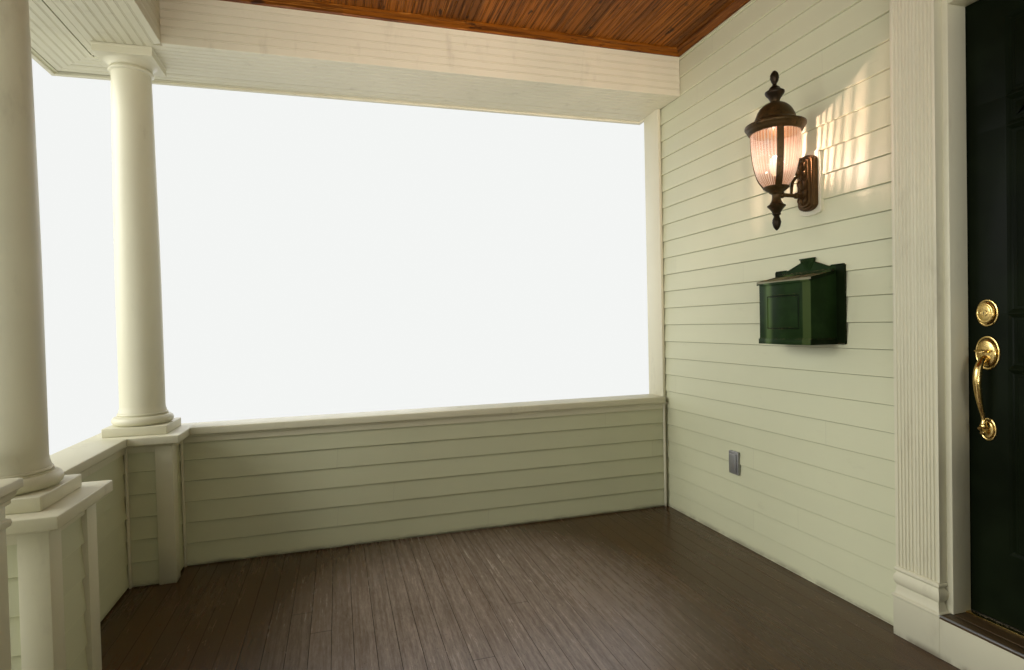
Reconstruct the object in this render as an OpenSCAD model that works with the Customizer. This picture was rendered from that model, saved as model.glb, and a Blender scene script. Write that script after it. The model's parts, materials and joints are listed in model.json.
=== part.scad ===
// Front porch of a house: a raised deck with half walls, square piers and round
// columns, boxed beams, a panelled ceiling and a hipped roof, built against a
// section of the house front with its panelled door.
// Millimetres. +Z is up, the street lies towards -Y and the house towards +Y.
// The origin is at ground level, on the back plane of the house wall, on the
// centre line of the door.

/* [Plan] */
// Width over the outer faces of the corner piers
porch_w = 4880; // [4400:10:5600]
// Depth from the house wall to the outer faces of the front piers
porch_d = 3170; // [2600:10:3800]
// Clear width between the two piers beside the steps
opening_w = 1650; // [1500:10:1900]
// Thickness of the house wall
wall_t = 140; // [120:5:180]
// Width of the section of house wall
house_w = 4980; // [4900:10:5700]

/* [Heights] */
// Height of the deck above the ground
deck_h = 600; // [540:10:720]
// Top of the half walls above the deck
rail_h = 720; // [600:10:900]
// Underside of the beams above the top of the door leaf
beam_h = 293; // [255:1:500]
// Depth of the beams, from their underside to the ceiling
beam_d = 284; // [235:2:340]

/* [Deck] */
// Thickness of the floor boards
floor_t = 25; // [20:1:32]
// Depth of the deck frame
frame_h = 190; // [140:5:235]
// Thickness of the rim joists and joists
joist_t = 38; // [30:1:50]
// Distance between joists
joist_pitch = 400; // [300:10:600]
// Thickness of the masonry foundation wall
foundation_t = 200; // [150:5:250]
// Set back of the foundation behind the rim
foundation_back = 15; // [0:1:30]

/* [Steps] */
// Number of risers from the ground to the deck
risers = 4; // [3:1:5]
// Depth of a tread between risers
tread_run = 280; // [240:5:320]
// Thickness of a tread
tread_t = 30; // [25:1:45]
// Overhang of a tread in front of its riser
nosing = 25; // [15:1:35]
// Width of the steps
steps_w = 1300; // [1100:10:1480]
// Thickness of a riser board
riser_t = 20; // [15:1:25]
// Thickness of a stringer
stringer_t = 45; // [38:1:60]

/* [Half walls and piers] */
// Side of a square pier
pier_w = 355; // [300:5:400]
// Thickness of a half wall
half_wall_t = 140; // [120:5:180]
// Thickness of the cap boards
cap_t = 38; // [25:1:50]
// Overhang of the cap boards
cap_over = 25; // [15:1:40]
// Side of a newel post
newel_w = 150; // [120:5:170]
// Top of the newel caps above the deck
newel_h = 860; // [820:5:1000]
// Gap between a newel post and the pier beside it
newel_gap = 175; // [100:5:250]

/* [Columns] */
// Side of the square plinth under a column
plinth_w = 275; // [240:5:300]
// Height of the plinth
plinth_h = 42; // [30:1:60]
// Height of the round base above the plinth
base_h = 58; // [45:1:80]
// Diameter of the shaft at its foot
shaft_d = 197; // [170:1:220]
// Diameter of the shaft under its capital
neck_d = 172; // [150:1:185]
// Height of the capital with its necking
capital_h = 116; // [100:1:140]
// Side of the square abacus
abacus_w = 250; // [230:1:270]

/* [Roof] */
// Overhang of the eave in front of the beam
eave_front = 280; // [200:5:400]
// Overhang of the eave past the end beams
eave_end = 140; // [120:5:220]
// Rise of the front slope for each unit of run
pitch = 0.25; // [0.2:0.01:0.35]
// Thickness of the roof, measured upright
roof_t = 70; // [50:1:100]
// Thickness of the fascia boards
fascia_t = 22; // [18:1:30]
// Thickness of the soffit and ceiling boards
board_t = 14; // [10:1:20]
// Height of the house wall above the top of the roof
wall_above = 150; // [100:10:400]

/* [Door] */
// Width of the door leaf
leaf_w = 914; // [813:1:965]
// Height of the door leaf
leaf_h = 2134; // [2032:1:2184]
// Thickness of the door leaf
leaf_t = 45; // [40:1:50]
// Underside of the leaf above the deck
leaf_z = 159; // [150:1:170]
// Gap around the leaf
leaf_gap = 5; // [4:0.5:7]
// Thickness of the door frame
jamb_t = 36; // [30:1:45]
// How far the stop laps over the face of the leaf
stop_lap = 9; // [6:1:12]
// Width of a fluted casing
casing_w = 166; // [140:1:190]
// How far the casings stand out from the wall
casing_t = 35; // [25:1:45]
// Height of the base block under a casing
block_h = 262; // [200:2:320]
// Height of the head board between the door frame and the cornice
head_board = 106; // [80:1:140]
// Height of the head cornice over the casings
cornice_h = 250; // [200:5:290]

/* [Door hardware] */
// Backset of the handle and the deadbolt from the edge of the leaf
backset = 70; // [60:1:80]
// Height of the thumb latch above the foot of the leaf
latch_up = 917; // [880:1:960]
// Height of the deadbolt above the thumb latch
bolt_up = 137; // [120:1:150]
// Distance of the lower rose below the thumb latch
grip_down = 263; // [230:1:290]

/* [Lantern] */
// Distance of the lantern from the door's centre line
lantern_x = 1062; // [980:2:1300]
// Height of the centre of the back plate above the deck
lantern_z = 1810; // [1700:2:1950]
// Distance of the lantern's axis from the wall
lantern_out = 190; // [160:1:220]

/* [Mailbox] */
// Distance of the mailbox from the door's centre line
mailbox_x = 1084; // [980:2:1300]
// Width of the mailbox's body
mailbox_w = 312; // [280:2:360]
// Width of the mailbox's back plate
mailbox_back_w = 404; // [360:2:440]
// Height of the mailbox at its back, under the lid
mailbox_h = 312; // [280:2:340]
// Depth of the mailbox
mailbox_d = 143; // [120:1:160]
// Underside of the mailbox above the deck
mailbox_z = 1095; // [1000:5:1200]
// Height of the shoulders of the back plate
mailbox_back_h = 342; // [330:1:380]

/* [Hidden] */
$fn = 48;

half_w = porch_w / 2;
face_y = -wall_t;
out_y = face_y - porch_d;
col_y = out_y + pier_w / 2;
corner_x = half_w - pier_w / 2;
step_x = opening_w / 2 + pier_w / 2;
cap_z = deck_h + rail_h;
leaf_bottom = deck_h + leaf_z;
leaf_top = leaf_bottom + leaf_h;
beam_z = leaf_top + beam_h;
ceiling_z = beam_z + beam_d;
frame_top = deck_h - floor_t;
frame_z = frame_top - frame_h;

eave_x = half_w + eave_end;
eave_y = out_y - eave_front;
eave_z = ceiling_z + roof_t - eave_front * pitch;
end_pitch = pitch * eave_front / eave_end;
roof_rise = (face_y - eave_y) * pitch;
roof_z = eave_z + roof_rise;
wall_z = roof_z + wall_above;

jamb_in = leaf_w / 2 + leaf_gap;
jamb_out = jamb_in + jamb_t;
stop_in = leaf_w / 2 - stop_lap;
leaf_back = -leaf_gap;
leaf_face = leaf_back - leaf_t;
stop_y = leaf_face - leaf_gap;
head_z = leaf_top + leaf_gap;
head_top = head_z + jamb_t;
cornice_z = head_top + head_board;
casing_in = jamb_in + 7;
casing_out = casing_in + casing_w;
sill_z = leaf_bottom - leaf_gap;
board_out = 20;
block_over = 6;
sill_h = 40;
fascia_drop = 12;
sill_out = 40;
corner_board_w = 180;

wall_col = [0.86, 0.84, 0.72];
trim_col = [0.93, 0.92, 0.86];
floor_col = [0.36, 0.28, 0.22];
stain_col = [0.42, 0.22, 0.09];
bronze_col = [0.22, 0.15, 0.10];
green_col = [0.07, 0.11, 0.08];

// A box given by its low and high corners
module span(low, high) {
    translate(low) cube(high - low);
}

// The child and its mirror image across the centre line
module both_sides() {
    children();
    mirror([1, 0, 0]) children();
}

// Foundation and deck

module foundation_front() {
    color("gray") span([-half_w + foundation_back, out_y + foundation_back, 0],
        [half_w - foundation_back, out_y + foundation_back + foundation_t, frame_z]);
}

module foundation_ends() {
    color("gray") both_sides()
        span([half_w - foundation_back - foundation_t, out_y + foundation_back + foundation_t, 0],
            [half_w - foundation_back, face_y, frame_z]);
}

module deck_rims() {
    color("burlywood") {
        span([-half_w, out_y, frame_z], [half_w, out_y + joist_t, frame_top]);
        span([-half_w, face_y - joist_t, frame_z], [half_w, face_y, frame_top]);
    }
}

module deck_joists() {
    bays = round((porch_w - joist_t) / joist_pitch);
    step = (porch_w - joist_t) / bays;
    color("burlywood") for (i = [0:bays])
        span([-half_w + i * step, out_y + joist_t, frame_z],
            [-half_w + i * step + joist_t, face_y - joist_t, frame_top]);
}

module deck_floor() {
    color(floor_col) {
        span([-half_w, out_y, frame_top], [half_w, face_y, deck_h]);
        span([-steps_w / 2, out_y - nosing, frame_top], [steps_w / 2, out_y, deck_h]);
    }
}

// Steps

rise = deck_h / risers;

module step_treads() {
    color(floor_col) for (i = [1:risers - 1])
        span([-steps_w / 2, out_y - i * tread_run - nosing, deck_h - i * rise - tread_t],
            [steps_w / 2, out_y - (i - 1) * tread_run - riser_t, deck_h - i * rise]);
}

module step_risers() {
    color(trim_col) for (i = [0:risers - 1])
        span([-steps_w / 2, out_y - i * tread_run - riser_t, max(0, deck_h - (i + 1) * rise)],
            [steps_w / 2, out_y - i * tread_run, deck_h - i * rise - (i == 0 ? floor_t : tread_t)]);
}

// Saw-tooth outline under the treads, in run (x) and height (y)
function stringer_outline() = concat(
    [[riser_t, deck_h - rise - tread_t], [tread_run, deck_h - rise - tread_t]],
    [for (i = [2:risers - 1]) each [
        [(i - 1) * tread_run, deck_h - i * rise - tread_t],
        [i * tread_run, deck_h - i * rise - tread_t]]],
    [[(risers - 1) * tread_run, 0], [riser_t, 0]]);

module step_stringers() {
    places = [-steps_w / 2 + 40, -stringer_t / 2, steps_w / 2 - 40 - stringer_t];
    color(trim_col) for (x = places)
        translate([x, out_y, 0]) rotate([90, 0, 90]) mirror([1, 0, 0])
            linear_extrude(stringer_t) polygon(stringer_outline());
}

// House wall

base_top = sill_z - sill_h;

module house_base() {
    color("gray") span([-house_w / 2, face_y, 0], [house_w / 2, 0, base_top]);
}

module house_wall_side() {
    span([jamb_out, face_y, base_top], [house_w / 2, 0, wall_z]);
}

module house_wall_left() {
    color(wall_col) mirror([1, 0, 0]) house_wall_side();
}

module house_wall_right() {
    color(wall_col) house_wall_side();
}

module house_wall_over_door() {
    color(wall_col) span([-jamb_out, face_y, head_top], [jamb_out, 0, wall_z]);
}

module house_corner_boards() {
    color(trim_col) both_sides()
        span([house_w / 2 - corner_board_w, face_y - board_out, deck_h],
            [house_w / 2, face_y, eave_z - roof_t]);
}

// Half walls, piers and caps

module half_walls() {
    color(wall_col) both_sides() {
        span([step_x + pier_w / 2, out_y, deck_h],
            [half_w - pier_w, out_y + half_wall_t, cap_z - cap_t]);
        span([half_w - half_wall_t, out_y + pier_w, deck_h],
            [half_w, face_y - board_out, cap_z - cap_t]);
    }
}

module piers() {
    color(trim_col) both_sides() for (x = [step_x, corner_x])
        span([x - pier_w / 2, out_y, deck_h], [x + pier_w / 2, out_y + pier_w, cap_z - cap_t]);
}

module wall_caps() {
    color(trim_col) both_sides() {
        span([step_x + pier_w / 2 + cap_over, out_y - cap_over, cap_z - cap_t],
            [half_w - pier_w - cap_over, out_y + half_wall_t + cap_over, cap_z]);
        span([half_w - half_wall_t - cap_over, out_y + pier_w + cap_over, cap_z - cap_t],
            [half_w + cap_over, face_y - board_out, cap_z]);
    }
}

module pier_caps() {
    g = pier_w / 2 + cap_over;
    color(trim_col) both_sides() for (x = [step_x, corner_x])
        span([x - g, col_y - g, cap_z - cap_t], [x + g, col_y + g, cap_z]);
}

// Newel posts beside the steps

newel_x = opening_w / 2 - newel_gap - newel_w / 2;
newel_y = col_y + 40;

// Foot, height and overhang of the three members of a newel cap
newel_cap_h = 62;
newel_steps = [[0, 18, 12], [18, 24, 26], [42, 20, 45]];

module newel_posts() {
    color(trim_col) both_sides() translate([newel_x - newel_w / 2, newel_y - newel_w / 2, deck_h])
        cube([newel_w, newel_w, newel_h - newel_cap_h]);
}

module newel_caps() {
    color(trim_col) both_sides() translate([newel_x, newel_y, deck_h + newel_h - newel_cap_h])
        for (member = newel_steps) {
            side = newel_w + 2 * member[2];
            translate([-side / 2, -side / 2, member[0]]) cube([side, side, member[1]]);
        }
}

// Columns

module at_columns(z) {
    both_sides() for (x = [step_x, corner_x]) translate([x, col_y, z]) children();
}

base_z = cap_z + plinth_h;
shaft_z = base_z + base_h;
capital_z = beam_z - capital_h;
shaft_h = capital_z - shaft_z;

module column_bases() {
    fillet_h = 16;
    ring_h = 10;
    torus_r = (base_h - fillet_h) / 2;
    torus_at = plinth_w / 2 - 4 - torus_r;
    color(trim_col) at_columns(cap_z) {
        translate([-plinth_w / 2, -plinth_w / 2, 0]) cube([plinth_w, plinth_w, plinth_h]);
        translate([0, 0, plinth_h]) {
            cylinder(h = base_h, d = shaft_d);
            cylinder(h = 2 * torus_r, r = torus_at);
            translate([0, 0, torus_r]) rotate_extrude() translate([torus_at, 0]) circle(torus_r);
            translate([0, 0, 2 * torus_r]) cylinder(h = ring_h, d = shaft_d + 22);
        }
    }
}

// Radius of the shaft at a share t of its height: straight for a third, then tapered
function shaft_r(t) = t < 1 / 3 ? shaft_d / 2
    : shaft_d / 2 - (shaft_d - neck_d) / 2 * pow((t - 1 / 3) * 1.5, 1.4);

module column_shafts() {
    color(trim_col) at_columns(shaft_z) rotate_extrude() polygon(concat(
        [[0, 0]], [for (i = [0:12]) [shaft_r(i / 12), shaft_h * i / 12]], [[0, shaft_h]]));
}

module column_capitals() {
    abacus_h = 42;
    ring_z = 30;
    ring_r = 7;
    bell_h = 26;
    neck_r = neck_d / 2;
    bell_out = abacus_w / 2 - neck_r - 10;
    bell_z = capital_h - abacus_h - bell_h;
    color(trim_col) at_columns(capital_z) {
        rotate_extrude() polygon(concat(
            [[0, 0], [neck_r, 0], [neck_r, ring_z - ring_r - 1]],
            [for (a = [-90:30:90]) [neck_r + 4 + ring_r * cos(a), ring_z + ring_r * sin(a)]],
            [[neck_r, ring_z + ring_r + 1], [neck_r, bell_z]],
            [for (a = [0:15:90]) [neck_r + 6 + bell_out * (1 - cos(a)), bell_z + bell_h * sin(a)]],
            [[0, bell_z + bell_h]]));
        translate([-abacus_w / 2, -abacus_w / 2, capital_h - abacus_h])
            cube([abacus_w, abacus_w, abacus_h]);
    }
}

// Beams, ceiling and roof

module front_beam() {
    color(trim_col) span([-half_w, out_y, beam_z], [half_w, out_y + pier_w, ceiling_z]);
}

module end_beams() {
    color(trim_col) both_sides() difference() {
        span([half_w - pier_w, out_y + pier_w, beam_z], [half_w, face_y, ceiling_z]);
        span([house_w / 2 - corner_board_w, face_y - board_out, beam_z - 1],
            [half_w + 1, face_y + 1, ceiling_z + 1]);
    }
}

module ceiling() {
    color(stain_col) span([-half_w + pier_w, out_y + pier_w, ceiling_z - board_t],
        [half_w - pier_w, face_y, ceiling_z]);
}

module ceiling_trim() {
    trim = 45;
    color(stain_col) difference() {
        span([-half_w + pier_w, out_y + pier_w, ceiling_z - board_t - trim],
            [half_w - pier_w, face_y, ceiling_z - board_t]);
        span([-half_w + pier_w + trim, out_y + pier_w + trim, ceiling_z - board_t - trim - 1],
            [half_w - pier_w - trim, face_y - trim, ceiling_z - board_t + 1]);
    }
}

module front_soffit() {
    color(trim_col) span([-eave_x + fascia_t, eave_y + fascia_t, beam_z],
        [eave_x - fascia_t, out_y, beam_z + board_t]);
}

module end_soffits() {
    color(trim_col) both_sides()
        span([half_w, out_y, beam_z], [eave_x - fascia_t, face_y - board_out, beam_z + board_t]);
}

module front_fascia() {
    color(trim_col) span([-eave_x, eave_y, beam_z - fascia_drop],
        [eave_x, eave_y + fascia_t, eave_z - roof_t]);
}

// The boards along the ends, with a return that closes the eave beside the house wall
module end_fascias() {
    color(trim_col) both_sides() {
        span([eave_x - fascia_t, eave_y + fascia_t, beam_z - fascia_drop],
            [eave_x, face_y, eave_z - roof_t]);
        span([house_w / 2, face_y - board_out, beam_z - fascia_drop],
            [eave_x - fascia_t, face_y, eave_z - roof_t]);
    }
}

// Solid under the hipped surface, with its eave edge at height z, run on past the wall by extra
module hip_solid(z, drop, extra) {
    run = face_y - eave_y + extra;
    rise = run * pitch;
    intersection() {
        translate([eave_x + 1, 0, z]) rotate([90, 0, -90]) linear_extrude(2 * eave_x + 2)
            polygon([[-face_y - extra, -drop], [-eave_y, -drop], [-eave_y, 0], [-face_y - extra, rise]]);
        translate([0, face_y + extra, z]) rotate([90, 0, 0]) linear_extrude(run + 1)
            polygon([[-eave_x, -drop], [eave_x, -drop], [eave_x, 0],
                [eave_x - rise / end_pitch, rise], [-eave_x + rise / end_pitch, rise], [-eave_x, 0]]);
    }
}

module roof() {
    color("dimgray") difference() {
        hip_solid(eave_z, roof_t, 0);
        hip_solid(eave_z - roof_t, 1, 10);
    }
}

// Door frame

// Section of a jamb: its face with the stop, x across and y through the wall
module jamb_section() {
    polygon([[stop_in, face_y], [jamb_out, face_y], [jamb_out, 0], [jamb_in, 0],
        [jamb_in, stop_y], [stop_in, stop_y]]);
}

module door_jambs() {
    color(trim_col) both_sides() translate([0, 0, sill_z])
        linear_extrude(head_top - sill_z) jamb_section();
}

module door_head() {
    drop = jamb_in - stop_in;
    color(trim_col) {
        span([-jamb_in, stop_y, head_z], [jamb_in, 0, head_top]);
        span([-stop_in, face_y, head_z - drop], [stop_in, stop_y, head_top]);
    }
}

module door_sill() {
    nose_w = casing_in - block_over;
    color(stain_col) {
        span([-jamb_out, face_y, base_top], [jamb_out, 0, sill_z]);
        translate([-nose_w, 0, 0]) rotate([90, 0, 90]) linear_extrude(2 * nose_w)
            polygon([[face_y, base_top], [face_y, sill_z], [face_y - sill_out + 6, sill_z - 6],
                [face_y - sill_out, sill_z - 12], [face_y - sill_out, base_top]]);
    }
}

module sill_riser() {
    color(trim_col) span([-casing_in + block_over, face_y - sill_out + 12, deck_h],
        [casing_in - block_over, face_y, base_top]);
}

// Fluted face of a casing: two groups of round flutes, with plain edges and a plain middle
module casing_plan() {
    flutes = 4;
    flute_r = 6;
    flute_pitch = 15;
    group_at = casing_w / 8 + 7;
    difference() {
        translate([casing_in, face_y - casing_t]) square([casing_w, casing_t]);
        translate([casing_in + casing_w / 2, face_y - casing_t])
            for (side = [-1, 1], i = [0:flutes - 1])
                translate([side * (group_at + (i - (flutes - 1) / 2) * flute_pitch), 0])
                    circle(flute_r, $fn = 16);
    }
}

module door_casings() {
    color(trim_col) both_sides() translate([0, 0, deck_h + block_h])
        linear_extrude(cornice_z - deck_h - block_h) casing_plan();
}

module casing_blocks() {
    neck_h = 60;
    color(trim_col) both_sides() {
        span([casing_in - block_over, face_y - casing_t - 12, deck_h],
            [casing_out + block_over, face_y, deck_h + block_h - neck_h]);
        span([casing_in - 3, face_y - casing_t - 6, deck_h + block_h - neck_h],
            [casing_out + 3, face_y, deck_h + block_h]);
    }
}

module head_cornice() {
    crown_h = 90;
    crown_z = cornice_z + cornice_h - crown_h;
    color(trim_col) {
        span([-casing_out - 8, face_y - casing_t - 10, cornice_z],
            [casing_out + 8, face_y, crown_z]);
        span([-casing_out - 40, face_y - casing_t - 45, crown_z],
            [casing_out + 40, face_y, crown_z + crown_h]);
        span([-casing_in, face_y - board_out, head_z + 8], [casing_in, face_y, cornice_z]);
    }
}

// Door leaf and its hardware

stile = 130;
mid_stile = 110;
top_rail = 98;
cross_rail = 97;
lock_rail = 197;
bottom_rail = 240;
low_panel_h = 624;
top_panel_h = 266;

// Panel fields of the leaf as [x, z, width, height] above its lower left corner
function leaf_panels() = let (
        panel_w = (leaf_w - 2 * stile - mid_stile) / 2,
        mid_z = bottom_rail + low_panel_h + lock_rail,
        top_z = leaf_h - top_rail - top_panel_h)
    [for (x = [stile, stile + panel_w + mid_stile])
        each [[x, bottom_rail, panel_w, low_panel_h],
            [x, mid_z, panel_w, top_z - cross_rail - mid_z],
            [x, top_z, panel_w, top_panel_h]]];

module door_leaf() {
    depth = 12;
    raise = 35;
    color(green_col) translate([-leaf_w / 2, 0, leaf_bottom]) difference() {
        translate([0, leaf_face, 0]) cube([leaf_w, leaf_t, leaf_h]);
        for (p = leaf_panels(), back = [0, 1]) {
            y = back == 0 ? leaf_face - 1 : leaf_back - depth;
            difference() {
                translate([p[0], y, p[1]]) cube([p[2], depth + 1, p[3]]);
                translate([p[0] + raise, y + (back == 0 ? 5 : -1), p[1] + raise])
                    cube([p[2] - 2 * raise, depth - 3, p[3] - 2 * raise]);
            }
        }
    }
}

hinge_x = leaf_w / 2 + leaf_gap / 2;
hinge_y = 8;
hinge_r = 7;
pin_r = 3.5;
hinge_h = 100;
hinge_zs = [leaf_bottom + 200, leaf_bottom + leaf_h / 2, leaf_top - 200];

module hinge_barrels() {
    third = hinge_h / 3;
    color("goldenrod") for (z = hinge_zs) translate([0, 0, z - hinge_h / 2]) {
        translate([hinge_x, hinge_y, 0]) cylinder(h = third - 0.5, r = hinge_r);
        translate([hinge_x, hinge_y, 2 * third + 0.5]) cylinder(h = third - 0.5, r = hinge_r);
        translate([hinge_x, hinge_y, 0]) cylinder(h = hinge_h, r = pin_r);
        translate([jamb_in - 1.8, -30, 0]) cube([1.8, 38, third - 0.5]);
        translate([jamb_in - 1.8, -30, 2 * third + 0.5]) cube([1.8, 38, third - 0.5]);
    }
}

module hinge_leaves() {
    third = hinge_h / 3;
    color("goldenrod") for (z = hinge_zs) translate([0, 0, z - hinge_h / 2 + third + 0.5]) difference() {
        union() {
            translate([hinge_x, hinge_y, 0]) cylinder(h = third - 1, r = hinge_r);
            translate([leaf_w / 2, -30, 0]) cube([1.8, 38, third - 1]);
        }
        translate([hinge_x, hinge_y, -1]) cylinder(h = third + 2, r = pin_r + 0.3);
    }
}

handle_x = -leaf_w / 2 + backset;
latch_z = leaf_bottom + latch_up;
grip_z = latch_z - grip_down;
bolt_z = latch_z + bolt_up;
latch_pin = [handle_x, leaf_face - 20, latch_z + 6];

// A flat oval on the face of the door, out to the distance t
module oval(z, w, h, t) {
    translate([handle_x, leaf_face, z]) rotate([90, 0, 0])
        linear_extrude(t) scale([w / h, 1]) circle(d = h);
}

// The child at a height z above the lower rose and a distance out from the door
module on_grip(p) {
    translate([handle_x, leaf_face - p[0], grip_z + p[1]]) sphere(d = p[2], $fn = 20);
}

module door_handle() {
    // Distance out, height and diameter along the grip, from the upper escutcheon down
    grip = [[12, 243, 22], [34, 232, 23], [49, 205, 24], [52, 168, 25],
        [46, 118, 21], [25, 46, 13], [27, 22, 20]];
    color("gold") difference() {
        union() {
            oval(latch_z, 80, 118, 5);
            oval(latch_z, 67, 88, 12);
            oval(grip_z, 54, 80, 5);
            oval(grip_z, 36, 56, 9);
            for (i = [0:len(grip) - 2]) hull() {
                on_grip(grip[i]);
                on_grip(grip[i + 1]);
            }
            translate([handle_x, leaf_face, grip_z + 12]) rotate([90, 0, 0])
                cylinder(h = 30, r1 = 14, r2 = 9);
            translate([handle_x, leaf_face - 20, grip_z + 8]) rotate([110, 0, 0])
                cylinder(h = 16, r1 = 6, r2 = 4.5);
            on_grip([38, -2, 16]);
            for (side = [-1, 1])
                translate(latch_pin + [side * 12 - 2, -5, -5]) cube([4, 20, 10]);
            translate(latch_pin - [12, 0, 0]) rotate([0, 90, 0]) cylinder(h = 24, r = 2);
        }
        translate(latch_pin + [-9, 5.3, -7]) cube([18, 16, 14]);
    }
}

module thumb_latch() {
    color("gold") translate(latch_pin) difference() {
        union() {
            translate([-9, 0, 0]) rotate([0, 90, 0]) cylinder(h = 18, r = 4.7);
            translate([-9, -30, 0.5]) cube([18, 28, 4]);
            translate([0, -30, 0.5]) linear_extrude(4) scale([22, 16]) circle(1);
            translate([-4, 0, -2]) cube([8, 15, 4]);
        }
        translate([-10, 0, 0]) rotate([0, 90, 0]) cylinder(h = 20, r = 2.3);
    }
}

module deadbolt() {
    color("gold") {
        oval(bolt_z, 72, 94, 5);
        oval(bolt_z, 58, 78, 14);
    }
}

// Lantern. Its turned parts are given as radius and height about the back plate's centre.

module at_lantern() {
    translate([-lantern_x, face_y - lantern_out, deck_h + lantern_z]) children();
}

plate_out = 45;
arm_drop = 57;
glass_top = 208;
glass_foot = -21;

// A round-ended slab on the wall, w wide and h high, out to the distance t
module wall_slab(w, h, t) {
    rotate([90, 0, 0]) linear_extrude(t) {
        translate([-w / 2, -(h - w) / 2]) square([w, h - w]);
        for (side = [-1, 1]) translate([0, side * (h - w) / 2]) circle(d = w);
    }
}

module lantern_bracket() {
    color(bronze_col) translate([-lantern_x, face_y, deck_h + lantern_z]) {
        wall_slab(105, 246, plate_out - 10);
        wall_slab(90, 231, plate_out);
    }
}

module lantern_body() {
    scroll_r = 75;
    strap_a = 16;
    color(bronze_col) at_lantern() {
        rotate_extrude() polygon([
            [0, glass_foot], [54, glass_foot], [54, -31], [28, -48], [17, -61], [19.5, -81],
            [27, -97], [37.5, -104], [37.5, -108], [13.5, -146], [11, -152], [16, -164],
            [18, -178], [14, -196], [6, -209], [2, -213], [0, -213]]);
        for (a = [-30, 90, 210]) rotate(a - strap_a / 2) rotate_extrude(angle = strap_a)
            polygon([[49, glass_foot - 6], [72, 13], [86, 57], [95, 106], [102, glass_top],
                [106, glass_top], [99, 106], [90, 56], [75, 11], [52, glass_foot - 6]]);
        translate([0, 0, -arm_drop]) {
            rotate([-90, 0, 0]) cylinder(h = lantern_out - plate_out, r = 8);
            translate([0, lantern_out - plate_out, 0]) rotate([90, 0, -90])
                rotate_extrude(angle = 90) translate([scroll_r, 0]) circle(5);
        }
    }
}

module lantern_glass() {
    color([0.9, 0.9, 0.85, 0.4]) at_lantern() rotate_extrude() polygon([
        [44, glass_foot], [47.5, glass_foot], [71, 13], [85, 57], [94, 106], [100.6, glass_top],
        [97, glass_top], [90.5, 107], [81.5, 59], [67.5, 15.5]]);
}

module lantern_roof() {
    color(bronze_col) at_lantern() rotate_extrude() polygon([
        [0, glass_top], [108, glass_top], [114, 218], [124.5, 236], [124.5, 246], [90, 262],
        [84, 270], [81, 282], [71, 305], [55, 325], [36, 338], [20, 343], [19, 349],
        [31, 374], [39, 388], [39, 392], [22.5, 405], [12, 416], [8.6, 426],
        [14, 438], [18.3, 454], [15, 470], [7, 481], [2, 484], [0, 484]]);
}

// Mailbox

box_t = 3;
box_back_t = 8;
box_slope = 34;
lid_gap = 5;
lid_pin = [-mailbox_x, face_y - box_back_t - 6, deck_h + mailbox_z + mailbox_h + 8];

module at_mailbox() {
    translate([-mailbox_x, face_y, deck_h + mailbox_z]) children();
}

// Plan of the body grown by g, with a bowed front between two slanted corners
module mailbox_plan(g) {
    bow = 9;
    corner = 40;
    set_back = 24;
    half = mailbox_w / 2 + g;
    front = mailbox_d + g;
    chord = half - corner;
    bow_r = (chord * chord + bow * bow) / (2 * bow);
    run = set_back + bow;
    ahead = half - run * corner / (set_back - bow);
    intersection() {
        polygon([[-half, 0], [-half, set_back - front], [-ahead, set_back - front - run],
            [ahead, set_back - front - run], [half, set_back - front], [half, 0]]);
        translate([0, bow_r - front]) circle(bow_r, $fn = 360);
    }
}

// Space under the sloped top, lifted by z
module mailbox_under(z) {
    width = mailbox_back_w;
    translate([-width / 2, 0, 0]) rotate([90, 0, 90]) linear_extrude(width)
        polygon([[0, -1], [0, mailbox_h + z],
            [-2 * mailbox_d, mailbox_h + z - 2 * box_slope], [-2 * mailbox_d, -1]]);
}

module mailbox_body() {
    half = mailbox_back_w / 2;
    top = mailbox_back_h;
    color(green_col) {
        at_mailbox() {
            difference() {
                intersection() {
                    linear_extrude(mailbox_h) mailbox_plan(0);
                    mailbox_under(0);
                }
                translate([0, 0, box_t]) linear_extrude(mailbox_h) mailbox_plan(-box_t);
            }
            difference() {
                linear_extrude(23) mailbox_plan(4);
                translate([0, 0, -1]) linear_extrude(25) mailbox_plan(-1);
            }
            rotate([90, 0, 0]) linear_extrude(box_back_t) polygon([
                [-half, 0], [half, 0], [half, top], [half - 74, top], [36, top + 26], [-36, top + 26],
                [-half + 74, top], [-half, top]]);
            rotate([90, 0, 0]) linear_extrude(box_back_t + 5) polygon([
                [-15, top - 5], [15, top - 5], [34, top + 20], [41, top + 34], [30, top + 42],
                [-30, top + 42], [-41, top + 34], [-34, top + 20]]);
        }
        translate(lid_pin) {
            for (side = [-1, 1])
                translate([side * (mailbox_w / 2 - 14) - 3, -4, -4]) cube([6, 10, 8]);
            translate([-mailbox_w / 2 + 12, 0, 0]) rotate([0, 90, 0])
                cylinder(h = mailbox_w - 24, r = 1.7);
        }
    }
}

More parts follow.
